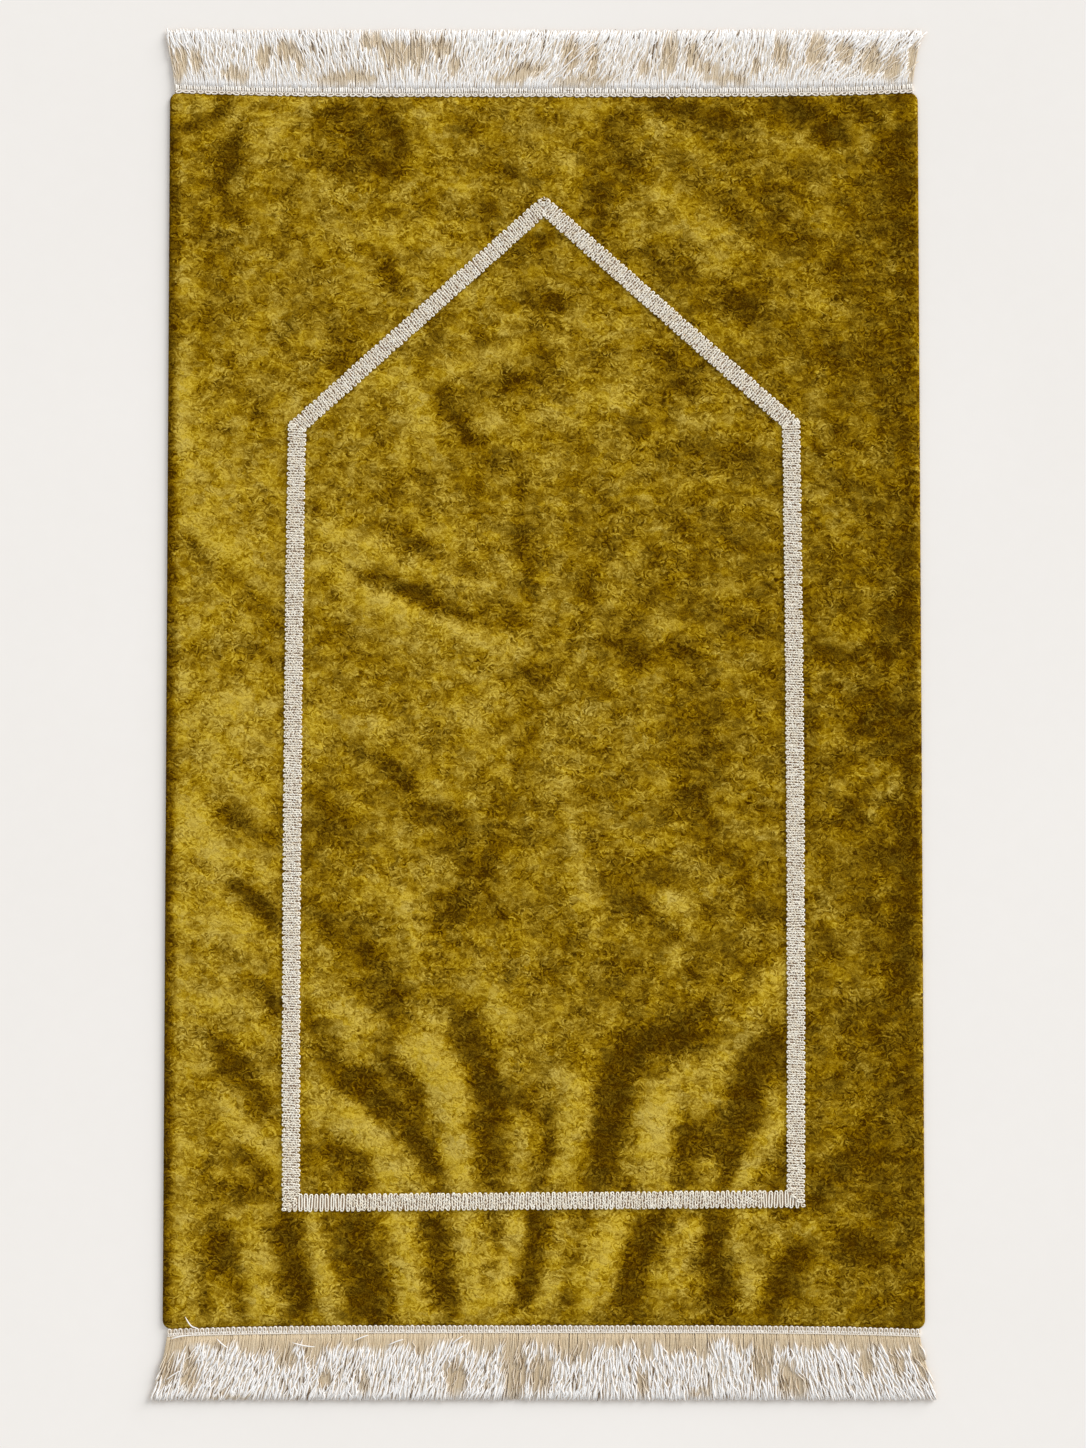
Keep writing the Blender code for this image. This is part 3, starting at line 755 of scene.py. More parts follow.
def tufts(tree, place):
    """Three patterns that change tuft by tuft: its tone, its hairs and its hue."""
    loose = bent(tree, stretched(tree, place, (TUFT_WIDTH, 1, 1)), 200, 0.008)
    cell = add_node(tree, "ShaderNodeTexVoronoi", {"Vector": loose, "Scale": TUFT_SCALE})
    own = cell.outputs["Color"]
    local = on_vectors(tree, "SUBTRACT", loose, cell.outputs["Position"])
    aside = on_vectors(tree, "SUBTRACT", own, (0.5, 0.5, 0.5))
    arm = on_vectors(tree, "MULTIPLY_ADD", aside, (HAIR_CENTRE, HAIR_CENTRE, HAIR_CENTRE), local)
    wobble = calc(tree, "MULTIPLY", soft_noise(tree, place, 300, 1), 1.3)
    far = on_vectors(tree, "LENGTH", arm, output=1)
    hairs = calc(tree, "SINE", mul_add(tree, far, tau / HAIR_SPACING, wobble))
    broken = mul_add(tree, soft_noise(tree, place, 220), 0.7, 0.5, clamp=True)
    strong = mul_add(tree, soft_noise(tree, place, 45), 0.6, 0.85)
    hairs = calc(tree, "MULTIPLY", calc(tree, "SUBTRACT", hairs, 0.1), broken)
    parts = add_node(tree, "ShaderNodeSeparateColor", {0: own}).outputs
    return mul_add(tree, parts[1], 2, -1), calc(tree, "MULTIPLY", hairs, strong), parts[2]


def cracks(tree, place):
    """Thin dark lines where the pile parts, mostly across the rug, here and there."""
    wide = stretched(tree, bent(tree, place, 70, 0.012), (CRACK_LENGTH, 1, 1))
    cell = add_node(tree, "ShaderNodeTexVoronoi", {"Vector": wide, "Scale": CRACK_SCALE},
                    feature="DISTANCE_TO_EDGE")
    line = mul_add(tree, cell.outputs["Distance"], -1 / CRACK_WIDTH, 1, clamp=True)
    some = mul_add(tree, soft_noise(tree, place, 70), 1.6, 0.1, clamp=True)
    return calc(tree, "MULTIPLY", line, some)


print("tufts of about", round(1000 / TUFT_SCALE, 1), "mm")

# %% Make the velvet material
CLOUD = 0.06
PATCH = 0.41
FLECK = 0.18
TUFT = 0.12
HAIR_EDGE = 0.2                 # how far the hairs feather the edge of a crease
CREASE_WIDTH = 1.05
CREASE_SHARE = 0.77
FLECK_OVER = 0.12
HAIR_OVER = 0.45
GRAIN_OVER = 0.42
CRACK_OVER = -0.34
# The ramps run from near black-brown, painted shade in the troughs, through amber and olive, to straw gold
# and pale khaki, painted sheen on the ridges.
VELVET_TONES = (
    (0.00, (0.046, 0.018, 0.0001)),
    (0.24, (0.122, 0.060, 0.0004)),
    (0.50, (0.246, 0.137, 0.0015)),
    (0.76, (0.400, 0.255, 0.0090)),
    (1.00, (0.590, 0.420, 0.0400)),
)
KHAKI_TONES = (
    (0.00, (0.050, 0.028, 0.0008)),
    (0.50, (0.225, 0.152, 0.0130)),
    (1.00, (0.580, 0.455, 0.1250)),
)
VELVET_SHEEN = (0.8, 0.6, 0.08, 1)


def add_up(tree, tone, *layers):
    """The tone with layers added, each a pattern and its weight."""
    for layer, weight in layers:
        tone = mul_add(tree, layer, weight, tone)
    return tone


def velvet_material():
    material, tree, place = new_material("olive_velvet")
    cloud = soft_noise(tree, stretched(tree, place, (1.4, 1, 1)), 24)
    swirled = stretched(tree, bent(tree, place, 90, 0.014), (1.6, 1, 1))
    patch = soft_noise(tree, swirled, 52, 4, 0.62)
    fleck = crisp(tree, soft_noise(tree, swirled, 145, 3, 0.6), 0.6)
    tuft, hairs, hue = tufts(tree, place)
    grain = soft_noise(tree, place, 1000, 2, 0.6)
    # the base is the pile's painted tone: its lie, with painted shade in the troughs and painted sheen on the
    # ridges
    body = add_up(tree, mark(tree, "nap_and_shade"), (cloud, CLOUD), (patch, PATCH), (fleck, FLECK), (tuft, TUFT),
                  (hairs, HAIR_EDGE))
    tone = calc(tree, "MULTIPLY", crisp(tree, body, CREASE_WIDTH), CREASE_SHARE)
    tone = add_up(tree, tone, (fleck, FLECK_OVER), (hairs, HAIR_OVER), (grain, GRAIN_OVER),
                  (cracks(tree, place), CRACK_OVER))
    tone = mul_add(tree, tone, 0.5, 0.515, clamp=True)
    khaki = mul_add(tree, soft_noise(tree, swirled, 60, 3, 0.6), 0.3, mul_add(tree, hue, 0.35, 0.02),
                    clamp=True)
    colour = blend(tree, khaki, *[colour_ramp(tree, tone, stops) for stops in (VELVET_TONES, KHAKI_TONES)])
    relief = mul_add(tree, hairs, 0.8, calc(tree, "ADD", fleck, patch))
    return finish(material, colour, 0.9, 0, 0.15, relief, 0.0004, sheen_roughness=0.4,
                  sheen_tint=VELVET_SHEEN)


def backing_material():
    """The back shows a plain close weave in the velvet's own dye."""
    material, tree, place = new_material("velvet_back")
    weave = add_node(tree, "ShaderNodeTexWave", {"Vector": place, "Scale": 260}).outputs["Fac"]
    shade = mul_add(tree, soft_noise(tree, place, 90, 3), 0.2, calc(tree, "MULTIPLY", weave, 0.6), clamp=True)
    return finish(material, blend(tree, shade, (0.15, 0.095, 0.012), (0.26, 0.18, 0.035)), 0.9)


velvet.data.materials.append(velvet_material())
velvet.data.materials.append(backing_material())
print("velvet finishes:", [slot.name for slot in velvet.data.materials])

# %% [markdown]
# ## Threads and cords
#
# The trims are hundreds of thin round threads. One curve object for each would be slow, so a
# helper sweeps a small ring of points along every line at once, from arrays, and joins them all
# in one closed mesh. A thread may be a closed loop, or have two capped ends. The numbers that a
# material needs are stored on the points. One of them is 1 along the top of a thread and falls to
# its sides, and the finishes paint shade on the sides with it, a brown line wherever two threads touch.

# %% Define the thread helper
def thread_mesh(name, lines, radii, sides, closed=False, **marks):
    """lines is an array (threads, points, 3), and radii and marks spread to (threads, points)."""
    count, points = lines.shape[:2]
    if closed:
        ahead = np.roll(lines, -1, axis=1) - np.roll(lines, 1, axis=1)
    else:
        ahead = np.gradient(lines, axis=1)
    stride = np.linalg.norm(ahead, axis=2, keepdims=True)
    ahead = np.where(stride > 0, ahead, (1, 0, 0)) / np.where(stride > 0, stride, 1)
    across = np.cross(ahead, (0, 0, 1))
    across /= np.linalg.norm(across, axis=2, keepdims=True)
    above = np.cross(across, ahead)
    turn = 0.5 * pi + tau * np.arange(sides) / sides
    ring = np.cos(turn)[:, None] * across[:, :, None] + np.sin(turn)[:, None] * above[:, :, None]
    radii = np.broadcast_to(radii, (count, points))
    places = (lines[:, :, None] + ring * radii[:, :, None, None]).reshape(-1, 3)
    first = (np.arange(count)[:, None, None] * points + np.arange(points)[None, :, None]) * sides
    here = first + np.arange(sides)
    beside = first + (np.arange(sides) + 1) % sides
    quads = np.stack([here, np.roll(here, -1, 1), np.roll(beside, -1, 1), beside], axis=3)
    if closed:
        faces = quads.reshape(-1, 4).tolist()
    else:
        faces = quads[:, :-1].reshape(-1, 4).tolist() + here[:, 0].tolist() + here[:, -1, ::-1].tolist()
    mesh = bpy.data.meshes.new(name)
    mesh.from_pydata(places.tolist(), [], faces)
    values = {label: np.repeat(np.broadcast_to(numbers, (count, points)).ravel(), sides)
              for label, numbers in marks.items()}
    # 1 along a thread's top, falling to its sides: the finishes paint shade on the sides with it
    values["crown_shade"] = np.tile(np.sin(turn), count * points)
    for label, numbers in values.items():
        layer = mesh.attributes.new(label, "FLOAT", "POINT")
        layer.data.foreach_set("value", numbers.astype(np.float32))
    mesh.shade_smooth()
    print(name, count, "threads,", sum(len(face) - 2 for face in faces), "triangles")
    return add_object(name, mesh)


def jitter(rng, reach, shape):
    """Random numbers from -reach to reach."""
    return rng.uniform(-1, 1, shape) * reach


def spaced(low, high, count):
    """The middles of equal steps from low to high."""
    return low + (np.arange(count) + 0.5) * (high - low) / count


print("thread helpers are ready")

# %% [markdown]
# ## The loops of a cord
#
# Gimp braid and looped trim both start as a cord laid in long narrow loops, side by side. A loop
# is two legs joined by two half circles. Its shape is worked out once in a flat frame, along the
# trim and out from its middle line, so it can be used on the braid and on both trims. In the
# braid the legs also sway, each loop against its neighbours, and so part and touch in turn. The
# partings are the small dark eyes that such braid is known for.

# %% Define the loop helper
LOOP_ARC_STEPS = 3
EYE_SPACING = 0.0027            # from one eye to the next, along a leg
LOOP_PINCH = 0.36               # how much narrower a loop is just inside its round ends
PINCH_PLACE = 0.83              # where that is, as a share of the way out
PINCH_REACH = 0.12
LOOP_LEG_STEPS = 12             # in the braid


def loop_shape(leg_steps):
    """Points round one loop: how far to a side, how far round an end, and from which end."""
    arc = np.linspace(0, pi, LOOP_ARC_STEPS + 1)
    leg = np.linspace(1, -1, leg_steps + 1)[1:-1]
    half = np.array([(cos(a), sin(a), 1) for a in arc] + [(-1, 0, place) for place in leg])
    return np.concatenate([half, -half]).T


def loop_lines(along, low, high, half_width, slant, leg_steps, sway=0, phase=0):
    """Along and out for every point of every loop, one row for each loop."""
    wide, tall, end = loop_shape(leg_steps)
    along, low, high, half_width, slant, sway, phase = [
        np.broadcast_to(value, low.shape)[:, None]
        for value in (along, low, high, half_width, slant, sway, phase)]
    middle = 0.5 * (low + high)
    out = middle + end * (0.5 * (high - low) - half_width) + tall * half_width
    eyes = np.cos(tau * (out / EYE_SPACING + phase)) * (1 - end ** 6)
    neck = 1 - LOOP_PINCH * np.exp(-((np.abs(end) - PINCH_PLACE) / PINCH_REACH) ** 2)
    return along + wide * (half_width * neck + sway * eyes) + slant * (out - middle), out


print("points round a loop of the braid:", loop_shape(LOOP_LEG_STEPS).shape[1])

# %% [markdown]
# ## The braid of the niche
#
# Seen close, the braid is a brown ground tape, a cream cord in loops from edge to edge, and a
# lace of short floats where thinner cords come up between the loops, with small dark gaps among
# them; some floats are short dark dots of painted shade that stand for such gaps. Two stretches
# near the foot corners were sewn down straight, so their loops show whole.
# Near a mitre the loops are cut short by the fold, and the long sides lie on top. The point of the
# niche is folded under, so it ends flat, with two round loops standing out.

# %% Size the braid
BRAID_HALF = 0.0081             # to the outside of the loops
TAPE_HALF = 0.0059
TAPE_LOW = PILE_TOP - BRAID_PRESS + 0.0001
TAPE_HIGH = TAPE_LOW + 0.0004
LOOP_PITCH = 0.00473
SIDE_PITCH = 0.0044             # the long sides were pushed together as they were sewn
LOOP_CORD = 0.00066             # radius of the looped cord
LOOP_HALF_WIDTH = 0.00126
SIDE_LOOP_HALF_WIDTH = 0.0012
LOOP_SWAY = 0.00036
LOOP_RISE = TAPE_HIGH + LOOP_CORD
LOOP_UNEVEN = 0.0004            # how unevenly the loops reach out
LOOP_SHIFT = 0.00035            # how unevenly they are spaced
SIDE_WIDENING = 0.0004          # the long sides were pulled a little wider as they were sewn
MITRE_GAP = -0.0009             # a cut loop reaches a little past the fold line
SHORTEST_LOOP = 0.0036
FLOAT_ROWS = 10
FLOAT_ROW_STEP = 0.00138
FLOAT_STEP = 0.0027             # from one float to the next in a row
FLOAT_LENGTHS = (0.0022, 0.0036)
FLOAT_UNEVEN = (0.0007, 0.00035)                # how unevenly they lie, along and across
FLOAT_EDGE = 0.0004             # how far their middles stay from a mitre
FLOAT_ARCH = 0.0012
FLOAT_RADIUS = 0.00052
FLOAT_RISE = LOOP_RISE + 0.00045
FLOAT_COVER = (0.88, 0.97, 0.8, 0.97, 0.88)     # how many there are on each run
FLOAT_TURN = (1.05, 0.7, 1.25, 0.7, 1.05)       # how far they lie across each run, in radians
# painted shade: some floats become short dark dots that stand for the gaps
HOLE_SHADE_SHARE = 0.18               # how many are small dark gaps instead
HOLE_SHADE_TONE = -4
FOLD_LIFT = 0.0006              # how much higher the run on top lies at a mitre
FOLD_LIFT_REACH = 0.016
FOLD_LIFT_START = -0.004        # it sinks from this far along the run
BARE_RUN = 2
BARE_STRETCHES = ((-0.01, 0.03), (0.401, 0.446))
BARE_FADE = 0.004               # how softly they start and stop
EYELETS = ((-0.0026, 0.4602, 0.0015), (0.0035, 0.4603, 0.0015), (0.0003, 0.4478, 0.0009))    # x, y, radius
EYELET_RISE = LOOP_RISE + 0.0006
# radius of the dark dot of painted shade inside each round loop at the point
EYELET_SHADE_RADIUS = 0.00085
POINT_TOP = 0.4597              # the braid is cut off flat at the point
POINT_HALF = 0.0026


def mitre_lift(index, along):
    """The height added where a run on top passes over its neighbour."""
    nearer = np.minimum(along, RUNS[index].length - along)
    return FOLD_LIFT * (index in SIDE_RUNS) * (1 - smooth_step((nearer - FOLD_LIFT_START) / FOLD_LIFT_REACH))


def bareness(index, along):
    """1 where the loops lie straight and whole, otherwise 0."""
    stretches = BARE_STRETCHES if index == BARE_RUN else ()
    return sum((smooth_step(np.minimum(along - start, stop - along) / BARE_FADE + 0.5)
                for start, stop in stretches), 0 * along)


print("loops along the braid:", round(sum(run.length for run in RUNS) / LOOP_PITCH))

# %% Make the tape under the loops
def thicken(bm, height):
    """Raises a copy of the flat faces, so that they become a closed slab."""
    raised = bmesh.ops.extrude_face_region(bm, geom=bm.faces[:], use_keep_orig=True)["geom"]
    top = [item for item in raised if isinstance(item, bmesh.types.BMVert)]
    bmesh.ops.translate(bm, verts=top, vec=(0, 0, height))


def make_tape():
    bm = bmesh.new()
    outer, inner = [[bm.verts.new((*on_run(run, run.start_slope * out, out), TAPE_LOW)) for run in RUNS]
                    for out in (TAPE_HALF, -TAPE_HALF)]
    for i in range(len(RUNS)):
        j = (i + 1) % len(RUNS)
        bm.faces.new((outer[i], outer[j], inner[j], inner[i]))
    thicken(bm, TAPE_HIGH - TAPE_LOW)
    bmesh.ops.bisect_plane(bm, geom=bm.verts[:] + bm.edges[:] + bm.faces[:], clear_outer=True,
                           plane_co=(0, POINT_TOP, 0), plane_no=(0, 1, 0))
    bmesh.ops.holes_fill(bm, edges=[edge for edge in bm.edges if edge.is_boundary], sides=0)
    bmesh.ops.recalc_face_normals(bm, faces=bm.faces)
    return bmesh_object(bm, "braid_tape")


braid_tape = make_tape()
print("tape", round(2000 * TAPE_HALF, 1), "mm wide")

# %% Make the loops from edge to edge
def run_loops(index, rng):
    """Loops of one run as world points, cut short where a mitre crosses them."""
    run = RUNS[index]
    side = index in SIDE_RUNS
    before, after = abs(run.start_slope) * BRAID_HALF, abs(run.end_slope) * BRAID_HALF
    count = round((run.length + before + after) / (SIDE_PITCH if side else LOOP_PITCH))
    along = spaced(-before, run.length + after, count) + jitter(rng, LOOP_SHIFT, count)
    low = np.maximum(-BRAID_HALF, (MITRE_GAP - along) / abs(run.start_slope))
    low = np.maximum(low, (MITRE_GAP + along - run.length) / abs(run.end_slope))
    high = BRAID_HALF + side * SIDE_WIDENING + jitter(rng, LOOP_UNEVEN, count)
    low = low - side * SIDE_WIDENING + jitter(rng, LOOP_UNEVEN, count)
    keep = high - low > SHORTEST_LOOP
    along, low, high = along[keep], low[keep], high[keep]
    count = len(along)
    half_width = (SIDE_LOOP_HALF_WIDTH if side else LOOP_HALF_WIDTH) * rng.uniform(0.88, 1.12, count)
    slant = rng.uniform(-0.07, 0.07, count) + 0.02
    sway = LOOP_SWAY * rng.uniform(0.6, 1.5, count) * (1 - 0.9 * bareness(index, along))
    phase = rng.uniform(-0.22, 0.22, count)
    lift = (LOOP_RISE + mitre_lift(index, along))[:, None]
    along, out = loop_lines(along, low + LOOP_CORD, high - LOOP_CORD, half_width, slant,
                            LOOP_LEG_STEPS, sway, phase)
    x, y = on_run(run, along, out)
    return np.stack([x, y, lift + 0 * x], axis=2)


def eyelet_lines(points):
    """The round loops at the point, with as many points as any other loop."""
    turn = tau * np.arange(points) / points
    return np.array([np.stack([x + radius * np.cos(turn), y + radius * np.sin(turn), 0 * turn + EYELET_RISE],
                              axis=1) for x, y, radius in EYELETS])


def make_braid_loops():
    rng = np.random.default_rng(31)
    lines = np.concatenate([run_loops(index, rng) for index in range(len(RUNS))])
    lines = np.concatenate([lines, eyelet_lines(lines.shape[1])])
    tone = rng.uniform(0, 1.7, (len(lines), 1))
    x, y = lines[:, :, 0], lines[:, :, 1]
    lines[:, :, 1] = np.minimum(y, np.where(np.abs(x) < POINT_HALF, POINT_TOP, 1))
    uneven = 1 + 0.08 * slow_noise(x * 300, y * 300, 5)
    return thread_mesh("braid_loops", lines, LOOP_CORD * uneven, 5, closed=True, tone=tone)


braid_loops = make_braid_loops()

# %% Lay the floats over the loops
def run_floats(index, rng):
    """Short floats on one run as world points, row by row, every other row leaning the other way."""
    run = RUNS[index]
    count = int(run.length / FLOAT_STEP) + 10
    row, place = [part.ravel() for part in np.meshgrid(np.arange(FLOAT_ROWS), np.arange(count))]
    out = (row - 0.5 * (FLOAT_ROWS - 1)) * FLOAT_ROW_STEP + jitter(rng, FLOAT_UNEVEN[1], len(row))
    along = (place - 5 + 0.5 * (row % 2)) * FLOAT_STEP + jitter(rng, FLOAT_UNEVEN[0], len(row))
    keep = rng.random(len(row)) < FLOAT_COVER[index] * (1 - bareness(index, along))
    keep &= along > run.start_slope * out + FLOAT_EDGE
    keep &= along < run.length + run.end_slope * out - FLOAT_EDGE
    row, out, along = row[keep], out[keep], along[keep]
    turn = np.where(row % 2 == 0, 1, -1) * FLOAT_TURN[index] + rng.normal(0, 0.45, len(row))
    part = np.array((-0.5, 0, 0.5))
    reach = rng.uniform(*FLOAT_LENGTHS, len(row))[:, None] * part
    rise = FLOAT_RISE + mitre_lift(index, along) + jitter(rng, 0.00015, len(row))
    x, y = on_run(run, along[:, None] + np.cos(turn)[:, None] * reach,
                  out[:, None] + np.sin(turn)[:, None] * reach)
    return np.stack([x, y, rise[:, None] - FLOAT_ARCH * part ** 2 + 0 * x], axis=2)


def make_floats():
    rng = np.random.default_rng(37)
    lines = np.concatenate([run_floats(index, rng) for index in range(len(RUNS))])
    radii = FLOAT_RADIUS * rng.uniform(0.8, 1.2, (len(lines), 1)) * (0.55, 1, 0.55)
    tone = rng.uniform(-2.4, 1.6, (len(lines), 1))
    # some floats become short dark dots of painted shade, for the gaps between floats
    hole_shade = rng.random((len(lines), 1)) < HOLE_SHADE_SHARE
    tone, radii = np.where(hole_shade, HOLE_SHADE_TONE, tone), np.where(hole_shade, 0.8 * radii, radii)
    lines = np.where(hole_shade[:, :, None], lines[:, 1:2] + 0.5 * (lines - lines[:, 1:2]), lines)
    # a dot of painted shade inside each of the two round loops at the point
    eyes = np.array([[(x + step, y, LOOP_RISE + 0.0011) for step in (-0.0004, 0, 0.0004)]
                     for x, y, radius in EYELETS[:2]])
    return thread_mesh("braid_floats", np.concatenate([lines, eyes]),
                       np.concatenate([radii, np.full((len(eyes), 3), EYELET_SHADE_RADIUS)]), 4,
                       tone=np.concatenate([tone, np.full((len(eyes), 1), HOLE_SHADE_TONE)]))


braid_floats = make_floats()

# %% [markdown]
# ## The looped trim at each end
#
# The fringe comes as a ready-made trim: a narrow woven strip with a row of loops along its inner
# edge, short upright ticks of cord beside them, and the cut yarn hanging from its outer edge. At
# the foot the loops stand up round and even along the velvet. At the head they were pulled flat
# and long as the trim was sewn on. The strip is an extruded grid, the loops come from the loop
# helper, the ticks are short threads side by side, and a row of stitches is two threads that sway
# against each other.

# %% Size the trim
TRIM_HALF = 0.3355
TRIM_HEIGHT = 0.0022
TRIM_CORD = 0.00064
STITCH_RADIUS = 0.00042
STITCH_STEPS = 6
LOOP_SINK = {"head": 0.0004, "foot": 0.0001}    # how far the loops press into the pile
LOOP_ROUND = 0.46               # the widest half of a loop, as a share of its length
TICK_PITCH = 0.0021
TICK_RADIUS = 0.0009
TICK_TONE = {"head": 0.9, "foot": 0.3}
TICK_RISE = {"head": 0.0009, "foot": 0.0003}
Trim = namedtuple("Trim", "end side seed strip pitch low high half_width slant stitch ticks")
TRIMS = (                       # a stitch row has a place out, a sway and a wave; ticks two places
    Trim("head", 1, 41, 0.0068, 0.0066, -0.0004, 0.0024, 0.0027, 0.9, (0.0024, 0.0004, 0.0028),
         (0.0026, 0.0075)),
    Trim("foot", -1, 53, 0.0064, 0.0047, -0.0001, 0.0044, 0.00128, 0.12, (0.0062, 0.0003, 0.0031),
         (0.0034, 0.006)),
)


def on_trim(side, x, out):
    """The Y of places given across the rug and out from the velvet's end."""
    return end_line(x, side) + side * out


print("trim", 2 * TRIM_HALF, "m long at each end")

# %% Make the strips, loops and stitches
def make_strip(trim):
    bm = bmesh.new()
    bmesh.ops.create_grid(bm, x_segments=60, y_segments=1, size=1)
    for vert in bm.verts:
        x = vert.co.x * TRIM_HALF
        out = trim.strip if vert.co.y > 0 else SEAM_GAP
        vert.co = (x, float(on_trim(trim.side, x, out)), 0)
    thicken(bm, TRIM_HEIGHT)
    bmesh.ops.recalc_face_normals(bm, faces=bm.faces)
    return bmesh_object(bm, trim.end + "_trim_strip")


def make_trim_loops(trim, rng):
    count = round(2 * TRIM_HALF / trim.pitch)
    along = spaced(-TRIM_HALF, TRIM_HALF, count) + jitter(rng, 0.12 * trim.pitch, count)
    low = trim.low + jitter(rng, 0.0003, count)
    high = trim.high + jitter(rng, 0.0003, count)
    half_width = np.minimum(trim.half_width * rng.uniform(0.8, 1.15, count),
                            LOOP_ROUND * (high - low))
    stretch = trim.half_width * rng.uniform(0.8, 1.15, count) / half_width
    x, out = loop_lines(0, low, high, half_width, jitter(rng, 0.5 * trim.slant, count), 4)
    x = along[:, None] + x * stretch[:, None]
    z = np.interp(out, (trim.low, trim.low + 0.003),
                  (PILE_TOP - LOOP_SINK[trim.end], TRIM_HEIGHT + TRIM_CORD))
    lines = np.stack([x, on_trim(trim.side, x, out), z], axis=2)
    return thread_mesh(trim.end + "_trim_loops", lines, TRIM_CORD, 5, closed=True,
                       tone=jitter(rng, 1, (count, 1)))


def make_trim_stitches(trim):
    middle, sway, wave = trim.stitch
    x = np.linspace(-TRIM_HALF, TRIM_HALF, round(2 * TRIM_HALF / wave) * STITCH_STEPS)
    twist = np.array(((0,), (pi,)))
    uneven = 1 + 0.5 * np.array([slow_noise(x * 150, middle * 900, 4 + angle) for angle in (0, pi)])
    angle = tau * x / wave + twist + 0.8 * uneven
    y = on_trim(trim.side, x, middle + sway * uneven * np.sin(angle))
    z = TRIM_HEIGHT + STITCH_RADIUS + 0.0003 * (1 + np.cos(angle))
    lines = np.stack([x + 0 * y, y, z], axis=2)
    return thread_mesh(trim.end + "_trim_stitches", lines, STITCH_RADIUS, 4,
                       tone=slow_noise(x * 90, y * 90, 6))


def make_trim_ticks(trim, rng):
    """Short upright stitches, side by side, that cover the strip."""
    count = round(2 * TRIM_HALF / TICK_PITCH)
    x = spaced(-TRIM_HALF, TRIM_HALF, count) + jitter(rng, 0.0003, count)
    low, high = trim.ticks
    out = np.linspace(0, 1, 4) * (high - low + jitter(rng, 0.0006, (count, 1))) + low
    x = x[:, None] + rng.uniform(-0.12, 0.12, (count, 1)) * (out - low)
    z = TRIM_HEIGHT + TICK_RISE[trim.end] + jitter(rng, 0.00012, (count, 1)) + 0 * out
    lines = np.stack([x, on_trim(trim.side, x, out), z], axis=2)
    radii = TICK_RADIUS * rng.uniform(0.85, 1.15, (count, 1)) * (0.7, 1, 1, 0.7)
    return thread_mesh(trim.end + "_trim_ticks", lines, radii, 6,
                       tone=TICK_TONE[trim.end] + rng.uniform(-0.5, 0.5, (count, 1)))


trims = {}
for trim in TRIMS:
    rng = np.random.default_rng(trim.seed)
    trims[trim.end] = [make_strip(trim), make_trim_loops(trim, rng), make_trim_stitches(trim),
                       make_trim_ticks(trim, rng)]

# %% [markdown]
# ## The cut fringe
#
# Rayon fringe is soft and shiny. Where its threads lie straight it looks tan and silky, and where
# they are crimped they catch the light and look white, a sheen that is painted into the colour. So
# whole threads run out to the cut edge, straight ones beneath and wavy ones over them, and short
# pointed locks lie on top of them wherever the yarn is crimped. A few of those are thin and dark,
# painted shade for the deep slits between real locks, and a few single threads lie across the
# rest. The locks near the corners lean out.
# The tan places were read from the photograph and are listed as soft ovals, by their place across
# the rug and their distance out from the velvet.

# %% Place the tan parts of the fringe
# Each oval: its place across the rug in mm, then its place out and its two half sizes in 0.1 mm.
TAN_ROWS = {
    "head": (
        (-332,260,90,162), (-316,303,81,90), (-280,194,162,72), (-255,337,90,117), (-234,424,108,108),
        (-222,306,63,108), (-178,163,360,63), (-156,504,135,72), (-134,394,162,135), (-114,404,117,144),
        (-93,459,144,81), (-80,276,63,90), (-35,156,225,36), (-14,239,216,63), (24,386,90,126),
        (44,331,72,171), (36,138,342,45), (90,257,54,81), (113,376,99,180), (135,376,81,108),
        (167,154,234,54), (194,272,63,81), (216,362,90,162), (247,394,126,153), (274,389,90,108),
        (297,309,126,135), (317,229,99,117), (337,257,81,180), (147,256,126,54),
    ),
    "foot": (
        (-335,282,90,216), (-316,387,81,180), (-296,85,225,36), (-251,157,324,81), (-229,275,126,81),
        (-206,207,99,135), (-153,131,432,54), (-195,464,81,81), (-107,159,162,81), (-79,459,117,153),
        (-52,150,153,81), (-27,362,144,288), (-3,424,135,180), (25,186,243,117), (57,124,162,54),
        (88,521,81,117), (90,221,54,54), (118,168,126,81), (141,202,108,81), (176,165,81,72),
        (195,279,117,198), (216,453,90,162), (228,522,81,99), (279,151,117,72), (287,316,63,117),
        (311,221,54,135), (316,325,54,90), (332,195,54,108), (337,334,45,108), (-159,501,54,90),
        (139,590,126,36), (-279,609,270,27),
    ),
}
TAN_PLACES = {end: np.array(rows) / (1e3, 1e4, 1e4, 1e4) for end, rows in TAN_ROWS.items()}
TAN_STRENGTH = 0.86
TAN_SCALE = (0.92, 1.15)        # the ovals are drawn a little narrower and longer
TAN_EDGE = (0.58, 0.72)         # where an oval starts to fade, and over how much of its size
TAN_MOST = 0.92                 # how much whiteness the tan takes away
RAGGED = (0.003, 0.006)         # how ragged the ovals are, across and out
TAN_ROOT = {"head": 0.002, "foot": 0.015}       # how far out the threads stay straight


def crimp_and_sheen(end, x, out):
    """From 0, straight and tan, to 1, crimped and white with painted sheen, by place along and out from the
    velvet.
    """
    ragged_x = x + RAGGED[0] * slow_noise(x * 180, out * 30, 1)
    ragged_out = out + RAGGED[1] * slow_noise(x * 210, out * 25, 2)
    tan = 0 * x
    for middle, middle_out, half_x, half_out in TAN_PLACES[end]:
        far = np.hypot((ragged_x - middle) / (TAN_SCALE[0] * half_x),
                       (ragged_out - middle_out) / (TAN_SCALE[1] * half_out))
        tan = np.maximum(tan, TAN_STRENGTH * (1 - smooth_step((far - TAN_EDGE[0]) / TAN_EDGE[1])))
    root = TAN_ROOT[end] * (1 + 0.8 * slow_noise(x * 28, 0, 3))
    tan = np.maximum(tan, 1 - smooth_step((ragged_out - root) / 0.004))
    return 1 - TAN_MOST * tan


print({end: len(places) for end, places in TAN_PLACES.items()}, "tan places")

